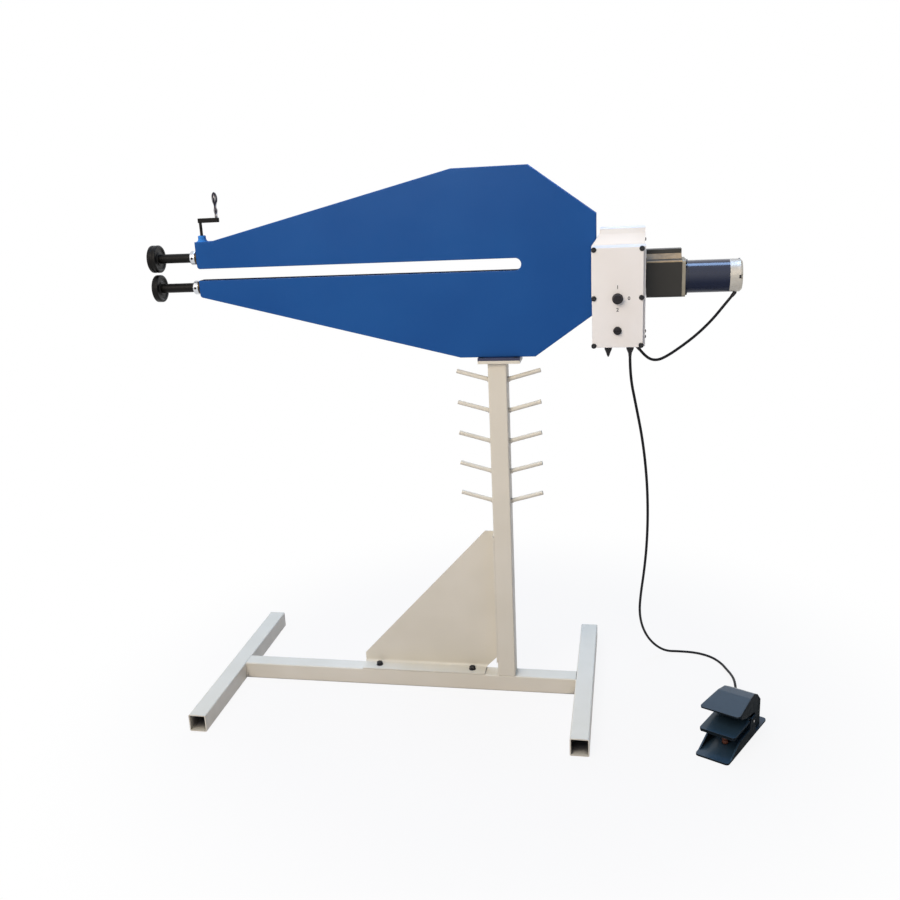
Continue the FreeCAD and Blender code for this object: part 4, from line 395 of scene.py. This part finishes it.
def shaded_flange_enamel():
    """The frame's blue enamel on its base flange, drawn dark navy as painted shade beneath the frame, paler where its
    edges are rubbed.
    """
    finish = Finish("shaded_flange_enamel", edge=0.8 * MM)
    # Painted shade: the flange's blue drawn near navy.
    colour = finish.over(linear("23253A"), finish.cloud(40 * MM, 2.0), "2C3050")
    colour = finish.over(colour, finish.edges(1.2 * MM), "5F6A8C", 0.4)
    finish.emboss(0.03 * MM, 2.2 * MM, 1.0)
    return finish.done(colour, 0.42)


FINISHES = {
    "stand_paint": cream_enamel(),
    "blue_paint": blue_powder_coat(),
    "dark_blue_paint": shaded_flange_enamel(),
    "box_paint": fine_texture_coat(),
    "gearbox_paint": gearbox_enamel(),
    "motor_paint": motor_gloss(),
    "pedal_paint": hammered_grey("hammered_grey", edge=1.2 * MM),
    "black_steel": blackened_steel(),
    "dark_steel": black_oxide(),
    "plain_steel": machined_steel(),
    "zinc_plate": zinc_plate(),
    "chrome_plate": chrome_plate(),
    "bronze": bearing_bronze(),
    "cast_aluminium": cast_aluminium("cast_aluminium", "ABA59A", "C2BDB4"),
    "black_plastic": moulded_black(),
    "cable_rubber": cable_sheath(),
    "buffer_rubber": red_brown_rubber(),
}
BLUE_RIM = blue_rim_coat()
OWN_FINISHES = {        # nodes that look otherwise than the rest of their slot
    "frame_rim": BLUE_RIM,
    "screw_boss": BLUE_RIM,
    "slot_liner": shaded_throat_coat(),
    "pedal_hood": hammered_grey("hammered_grey_hood", edge=7 * MM),
    # Painted shade: a darker copy of the cast aluminium for the motor flange.
    "motor_flange": cast_aluminium("shaded_cast_aluminium", "7D776A", "938C7E"),
}


def coat(obj, material):
    obj.data.materials.clear()
    obj.data.materials.append(material)


for entry in frame["record"]["subparts"]:
    coat(NODES[entry["node"]], OWN_FINISHES.get(entry["node"], FINISHES[entry["material_slot"]]))


# ---------------------------------------------------------------- making pieces

HEXAGON = 6


def add_piece(name, data, slot, body, turn=(0, 0, 0), place=(0, 0, 0)):
    """Puts mesh, curve or text data in the scene as a piece with a finish, riding on a body."""
    piece = bpy.data.objects.new(name, data)
    bpy.context.collection.objects.link(piece)
    piece.rotation_euler = turn
    piece.location = place
    coat(piece, FINISHES[slot])
    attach(piece, body)
    return piece


def round_line(name, kind, points, radius, smoothness):
    """A closed-ended round line through or along points in metres; returns its curve and its spline."""
    curve = bpy.data.curves.new(name, "CURVE")
    curve.dimensions = "3D"
    curve.bevel_depth = radius
    curve.bevel_resolution = smoothness
    curve.use_fill_caps = True
    spline = curve.splines.new(kind)
    spline.points.add(len(points) - 1)
    for spot, place in zip(spline.points, points):
        spot.co = (*place, 1.0)
    return curve, spline


def lathe(name, profile, place, axis, slot, body, sides=48):
    """Turned piece: profile of (radius, height) from the foot up, set at a place and turned to an axis."""
    turn = Vector(axis).to_track_quat("Z", "Y")
    mesh = bmesh.new()
    rings = []
    for radius, height in profile:
        ring = []
        for k in range(sides):
            angle = 2 * math.pi * k / sides
            spot = turn @ Vector((radius * math.cos(angle), radius * math.sin(angle), height)) + Vector(place)
            ring.append(mesh.verts.new(spot))
        rings.append(ring)
    for low, high in zip(rings, rings[1:]):
        for k in range(sides):
            mesh.faces.new((low[k], low[(k + 1) % sides], high[(k + 1) % sides], high[k]))
    mesh.faces.new(list(reversed(rings[0])))
    mesh.faces.new(rings[-1])
    data = bpy.data.meshes.new(name)
    mesh.to_mesh(data)
    mesh.free()
    for face in data.polygons:
        face.use_smooth = sides > HEXAGON
    piece = add_piece(name, data, slot, body)
    if sides > HEXAGON:
        piece.data.set_sharp_from_angle(angle=math.radians(35))
    return piece


def millimetres(profile):
    return [(radius * MM, height * MM) for radius, height in profile]


# ---------------------------------------------------------------- cords

CORD_RADIUS = 3.5 * MM
PEDAL_CORD = [
    (0.3415, -0.072, 0.995), (0.3415, -0.072, 0.940), (0.357, -0.060, 0.860), (0.375, -0.044, 0.765),
    (0.387, -0.026, 0.660), (0.392, -0.002, 0.555), (0.391, 0.024, 0.450), (0.385, 0.054, 0.355),
    (0.377, 0.090, 0.270), (0.374, 0.132, 0.192), (0.385, 0.178, 0.118), (0.411, 0.219, 0.054),
    (0.452, 0.249, 0.010), (0.500, 0.262, 0.0042), (0.549, 0.258, 0.004), (0.591, 0.235, 0.004),
    (0.616, 0.197, 0.0045), (0.627, 0.148, 0.011), (0.634, 0.098, 0.023), (0.637, 0.048, 0.035),
    (0.636, -0.002, 0.043), (0.63213, -0.04785, 0.046), (0.63213, -0.06985, 0.046)]
MOTOR_CABLE = [
    (0.36477, -0.072, 1.00433), (0.3815, -0.072, 0.9829), (0.405, -0.069, 0.9745), (0.429, -0.062, 0.9825),
    (0.464, -0.051, 1.004), (0.504, -0.037, 1.0325), (0.541, -0.018, 1.0655), (0.570, 0.0, 1.0983),
    (0.58723, 0.0, 1.12033)]


def add_cord(name, points, node):
    """Cord along its route's points, standing for the plain tube."""
    curve, spline = round_line(name, "NURBS", points, CORD_RADIUS, smoothness=6)
    curve.resolution_u = 12
    spline.order_u = 3
    spline.use_endpoint_u = True
    piece = add_piece(name, curve, "cable_rubber", "frame")
    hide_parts(node)
    return piece


pedal_lead = add_cord("pedal_lead", PEDAL_CORD, "pedal_cord")
motor_lead = add_cord("motor_lead", MOTOR_CABLE, "motor_cable")


# ---------------------------------------------------------------- glands, bolt heads, seal and set screws

# Tapered nose under each large gland: the spare one is closed, the other holds the foot switch's cord.
GLAND_Y, GLAND_TIP = -0.072, 0.995
CORD_GLAND_X, SPARE_GLAND_X = 0.3415, 0.288
RIBBED_NOSE = [
    (4.5, 0), (4.6, 0.6), (4.3, 1.0), (4.3, 1.6), (4.55, 2.0), (4.4, 2.8), (4.1, 3.2), (4.1, 3.8), (4.35, 4.2),
    (4.2, 5.0), (3.9, 5.4), (3.9, 6.0), (4.1, 6.4), (3.9, 8.0), (3.6, 8.4)]
CLOSED_NOSE = [(4.5, 0), (4.6, 0.8), (4.0, 2.4), (3.0, 5.0), (2.0, 7.0), (1.1, 8.2), (0.4, 8.7)]
for name, profile, gland_x in (("foot_cord_relief", RIBBED_NOSE, CORD_GLAND_X),
                               ("spare_gland_plug", CLOSED_NOSE, SPARE_GLAND_X)):
    lathe(name, millimetres(profile), (gland_x, GLAND_Y, GLAND_TIP), (0, 0, -1), "black_plastic", "frame")

# Washer and hexagon head over each of the two bolts on the gusset's flange.
GUSSET_BOLTS_X = (-0.384, -0.104)
FLANGE_TOP = 0.053
WASHER_T = 1.8 * MM
WASHER = [(9.4, 0.05), (9.8, 0.3), (9.8, 1.5), (9.4, 1.8), (5.0, 1.8)]
BOLT_HEAD = [(8.9, 0.0), (8.9, 6.6), (8.1, 7.6), (7.6, 7.8)]
for number, bolt_x in enumerate(GUSSET_BOLTS_X, 1):
    lathe(f"gusset_washer_{number}", millimetres(WASHER), (bolt_x, 0, FLANGE_TOP), (0, 0, 1), "dark_steel", "frame")
    lathe(f"gusset_bolt_head_{number}", millimetres(BOLT_HEAD), (bolt_x, 0, FLANGE_TOP + WASHER_T), (0, 0, 1),
          "dark_steel", "frame", sides=HEXAGON)

# Painted sealing strip that shows beside the lid, where the box is wider.
SEAL_X, SEAL_Y = 0.373, -0.1125
SEAL_ENDS_Z = (1.0195, 1.2585)
SEAL_RADIUS = 1.8 * MM
seal_line, _ = round_line("lid_seal", "POLY", [(SEAL_X, SEAL_Y, end) for end in SEAL_ENDS_Z], SEAL_RADIUS,
                          smoothness=4)
add_piece("lid_seal", seal_line, "box_paint", "frame")

# Cup-point set screws a little below the collars' surface.
SET_SCREW = [(3.3, -3.0), (3.3, 0.2), (2.9, 0.5), (1.5, 0.5), (1.5, -1.6), (0.2, -1.7)]
SET_SCREW_Y = -0.0172
for name, screw_x, screw_z, body in (("lower_set_screw", -0.823, 1.183, "lower_shaft"),
                                     ("upper_set_screw", -0.82298, 1.2624, "upper_shaft")):
    lathe(name, millimetres(SET_SCREW), (screw_x, SET_SCREW_Y, screw_z), (0, -1, 0), "dark_steel", body)


# ---------------------------------------------------------------- weld beads

HALF_TUBE, TUBE_TOP = 0.025, 0.050
POST_TOP = 0.965
FOOT_SEAMS = ((-0.800, 1), (0.197, -1))     # x of the seam, and the side on which the beam lies
SEAM_PROUD = 0.4 * MM                       # how far a foot bead's middle lies off its foot
END_GAP = 3 * MM                            # from a foot bead's ends to the floor and to the tube's top
HALF_WELD = 21 * MM                         # stops short of the tube's rounded corners
FOOT_BEAD, POST_BEAD, GUSSET_BEAD = 2.6 * MM, 2.2 * MM, 1.8 * MM
RIPPLE = 1.4 * MM
TAPERED_END = 0.45                          # share of the bead's radius


def add_bead(name, start, end, radius):
    """Weld bead along a line, rippled every couple of millimetres and painted over."""
    start, end = Vector(start), Vector(end)
    count = max(2, round((end - start).length / RIPPLE))
    curve, spline = round_line(name, "POLY", [start.lerp(end, k / count) for k in range(count)] + [end], radius,
                               smoothness=3)
    for k, spot in enumerate(spline.points):
        spot.radius = 0.88 + 0.16 * abs(math.sin(1.1 * k)) + CHANCE.uniform(-0.05, 0.05)
    spline.points[0].radius = spline.points[-1].radius = TAPERED_END
    add_piece(name, curve, "stand_paint", "frame")


def add_welds():
    """Beam to feet, post to beam, and post to its top plate."""
    for number, (seam_x, lean) in enumerate(FOOT_SEAMS, 1):
        bead_x = seam_x + lean * SEAM_PROUD
        for side, place in ((-1, "front"), (1, "back")):
            add_bead(f"foot_weld_{number}_{place}", (bead_x, side * HALF_TUBE, END_GAP),
                     (bead_x, side * HALF_TUBE, TUBE_TOP - END_GAP), FOOT_BEAD)
    for side, across, along in ((-1, "left", "front"), (1, "right", "back")):
        edge = side * HALF_TUBE
        add_bead(f"post_weld_{across}", (edge, -HALF_WELD, TUBE_TOP), (edge, HALF_WELD, TUBE_TOP), POST_BEAD)
        add_bead(f"plate_weld_{across}", (edge, -HALF_WELD, POST_TOP), (edge, HALF_WELD, POST_TOP), POST_BEAD)
        add_bead(f"plate_weld_{along}", (-HALF_WELD, edge, POST_TOP), (HALF_WELD, edge, POST_TOP), POST_BEAD)


add_welds()

# Seam that closes the crack between the gusset's fold and the post's rounded corner.
CRACK_X, CRACK_Y = 1.0 * MM - HALF_TUBE, 1.4 * MM - HALF_TUBE
CRACK_FOOT, CRACK_TOP = 0.094, 0.476
add_bead("gusset_seam", (CRACK_X, CRACK_Y, CRACK_FOOT), (CRACK_X, CRACK_Y, CRACK_TOP), GUSSET_BEAD)


# ---------------------------------------------------------------- foot switch

def add_treadle_rubber(ribs=6, waist=6.0 * MM, belly=8.0 * MM, steps=10):
    """Ribbed rubber buffer that is squeezed between the base and the treadle."""
    low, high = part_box("treadle_buffer")
    foot = ((low.x + high.x) / 2, (low.y + high.y) / 2, low.z)
    profile = []
    for k in range(ribs * steps + 1):
        swell = 0.5 - 0.5 * math.cos(2 * math.pi * k / steps)
        profile.append((waist + (belly - waist) * math.sqrt(swell), (high.z - low.z) * k / (ribs * steps)))
    piece = lathe("treadle_rubber", profile, foot, (0, 0, 1), "buffer_rubber", "frame")
    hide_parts("treadle_buffer")
    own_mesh(piece)


add_treadle_rubber()


# ---------------------------------------------------------------- printed marks

KNOB_X, KNOB_Z = 0.311, 1.1375
MARK_REACH = 27 * MM
MARK_SIZE = 12 * MM
BOLDNESS = 0.25 * MM        # spreads the strokes
INK_T = 0.05 * MM


def add_mark(text, across, above):
    """Number printed on the control box's lid, beside the knob."""
    data = bpy.data.curves.new(f"mark_{text}", "FONT")
    data.body = text
    data.size = MARK_SIZE
    data.align_x = "CENTER"
    data.align_y = "CENTER"
    data.extrude = INK_T
    data.offset = BOLDNESS
    lid_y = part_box("control_box_lid")[0].y
    add_piece(f"mark_{text}", data, "black_plastic", "frame", turn=(math.radians(90), 0, 0),
              place=(KNOB_X + across, lid_y - INK_T, KNOB_Z + above))


add_mark("1", 0, MARK_REACH)
add_mark("0", MARK_REACH, 0)
add_mark("2", 0, -MARK_REACH)


# ---------------------------------------------------------------- floor, light and world

FLOOR_HALF = 30.0
FLOOR_Z = -0.05 * MM        # just under the feet
WHITE = (1.0, 1.0, 1.0, 1.0)
FLOOR_PAINT = (0.62, 0.55, 0.52, 1.0)                                       # linear colours, as light is
ROOM_BELOW, ROOM_ABOVE = (0.44, 0.41, 0.38, 1.0), (0.60, 0.84, 1.20, 1.0)


def white_rays(tree):
    """1 for rays that see the surroundings: from the camera, and off or through glossy things."""
    path = add(tree, "LightPath")
    seen = add(tree, "Math", {0: path.outputs["Is Camera Ray"], 1: path.outputs["Is Glossy Ray"]}, operation="MAXIMUM")
    return add(tree, "Math", {0: seen, 1: path.outputs["Is Transmission Ray"]}, operation="MAXIMUM")


def add_floor():
    """Large pale floor that keeps a faint shadow near the machine and turns to plain white away from it."""
    mesh = bpy.data.meshes.new("floor")
    mesh.from_pydata([(-FLOOR_HALF, -FLOOR_HALF, 0), (FLOOR_HALF, -FLOOR_HALF, 0), (FLOOR_HALF, FLOOR_HALF, 0),
                      (-FLOOR_HALF, FLOOR_HALF, 0)], [], [(0, 1, 2, 3)])
    floor = bpy.data.objects.new("floor", mesh)
    bpy.context.collection.objects.link(floor)
    floor.location.z = FLOOR_Z
    material = bpy.data.materials.new("pale_floor")
    material.use_nodes = True
    tree = material.node_tree
    tree.nodes.clear()
    place = add(tree, "TexCoord").outputs["Object"]
    radius = add(tree, "VectorMath", {0: place}, operation="LENGTH").outputs["Value"]
    far = add(tree, "MapRange", {"Value": radius, "From Min": 0.6, "From Max": 1.4, "To Min": 0.88},
              interpolation_type="SMOOTHSTEP")
    share = add(tree, "Math", {0: white_rays(tree), 1: far}, operation="MULTIPLY")
    paint = add(tree, "BsdfDiffuse", {"Color": FLOOR_PAINT})
    white = add(tree, "Emission", {"Color": WHITE, "Strength": 1.0})
    both = add(tree, "MixShader", {0: share, 1: paint, 2: white})
    add(tree, "OutputMaterial", {"Surface": both})
    mesh.materials.append(material)


def add_world():
    """White where it is looked at, also in metal and glass; as light, cool above, warm below, dim at the right."""
    world = bpy.data.worlds.new("studio")
    world.use_nodes = True
    tree = world.node_tree
    tree.nodes.clear()
    way = add(tree, "SeparateXYZ", {0: add(tree, "TexCoord").outputs["Generated"]})
    height = add(tree, "MapRange", {"Value": way.outputs["Z"], "From Min": 0.3, "From Max": 0.9},
                 interpolation_type="SMOOTHSTEP")
    first, second = MIX_COLOURS
    room = add(tree, "Mix", {"Factor": height, first: ROOM_BELOW, second: ROOM_ABOVE}, data_type="RGBA")
    side = add(tree, "MapRange", {"Value": way.outputs["X"], "From Min": -0.2, "From Max": 0.8, "To Min": 1.0,
                                  "To Max": 0.12}, interpolation_type="SMOOTHSTEP")
    light = add(tree, "Background", {"Color": room.outputs[MIX_RESULT], "Strength": side})
    white = add(tree, "Background", {"Color": WHITE, "Strength": 1.0})
    both = add(tree, "MixShader", {0: white_rays(tree), 1: light, 2: white})
    add(tree, "OutputWorld", {"Surface": both})
    bpy.context.scene.world = world


def add_lamp(name, place, target, size, power, colour):
    """Soft rectangular lamp that looks at a target; power is in watts."""
    data = bpy.data.lights.new(name, "AREA")
    data.shape = "RECTANGLE"
    data.size, data.size_y = size
    data.energy = power
    data.color = linear(colour)[:3]
    lamp = bpy.data.objects.new(name, data)
    bpy.context.collection.objects.link(lamp)
    lamp.location = place
    lamp.rotation_euler = (Vector(target) - Vector(place)).to_track_quat("-Z", "Y").to_euler()


add_floor()
add_world()
add_lamp("key_light", (-0.8, -2.2, 2.5), (0.0, 0.0, 1.1), size=(1.8, 1.8), power=58, colour="FFF3E4")
add_lamp("fill_light", (2.4, -2.2, 1.7), (0.1, 0.0, 1.0), size=(1.6, 1.6), power=4, colour="FFF6EC")
add_lamp("top_light", (0.3, 0.6, 6.0), (0.1, 0.0, 0.9), size=(2.4, 1.8), power=136, colour="A2C8FF")
add_lamp("back_light", (-0.6, 2.7, 2.3), (0.0, 0.0, 0.9), size=(1.8, 1.8), power=17, colour="E4EEFF")

bpy.context.scene.view_settings.view_transform = "Standard"
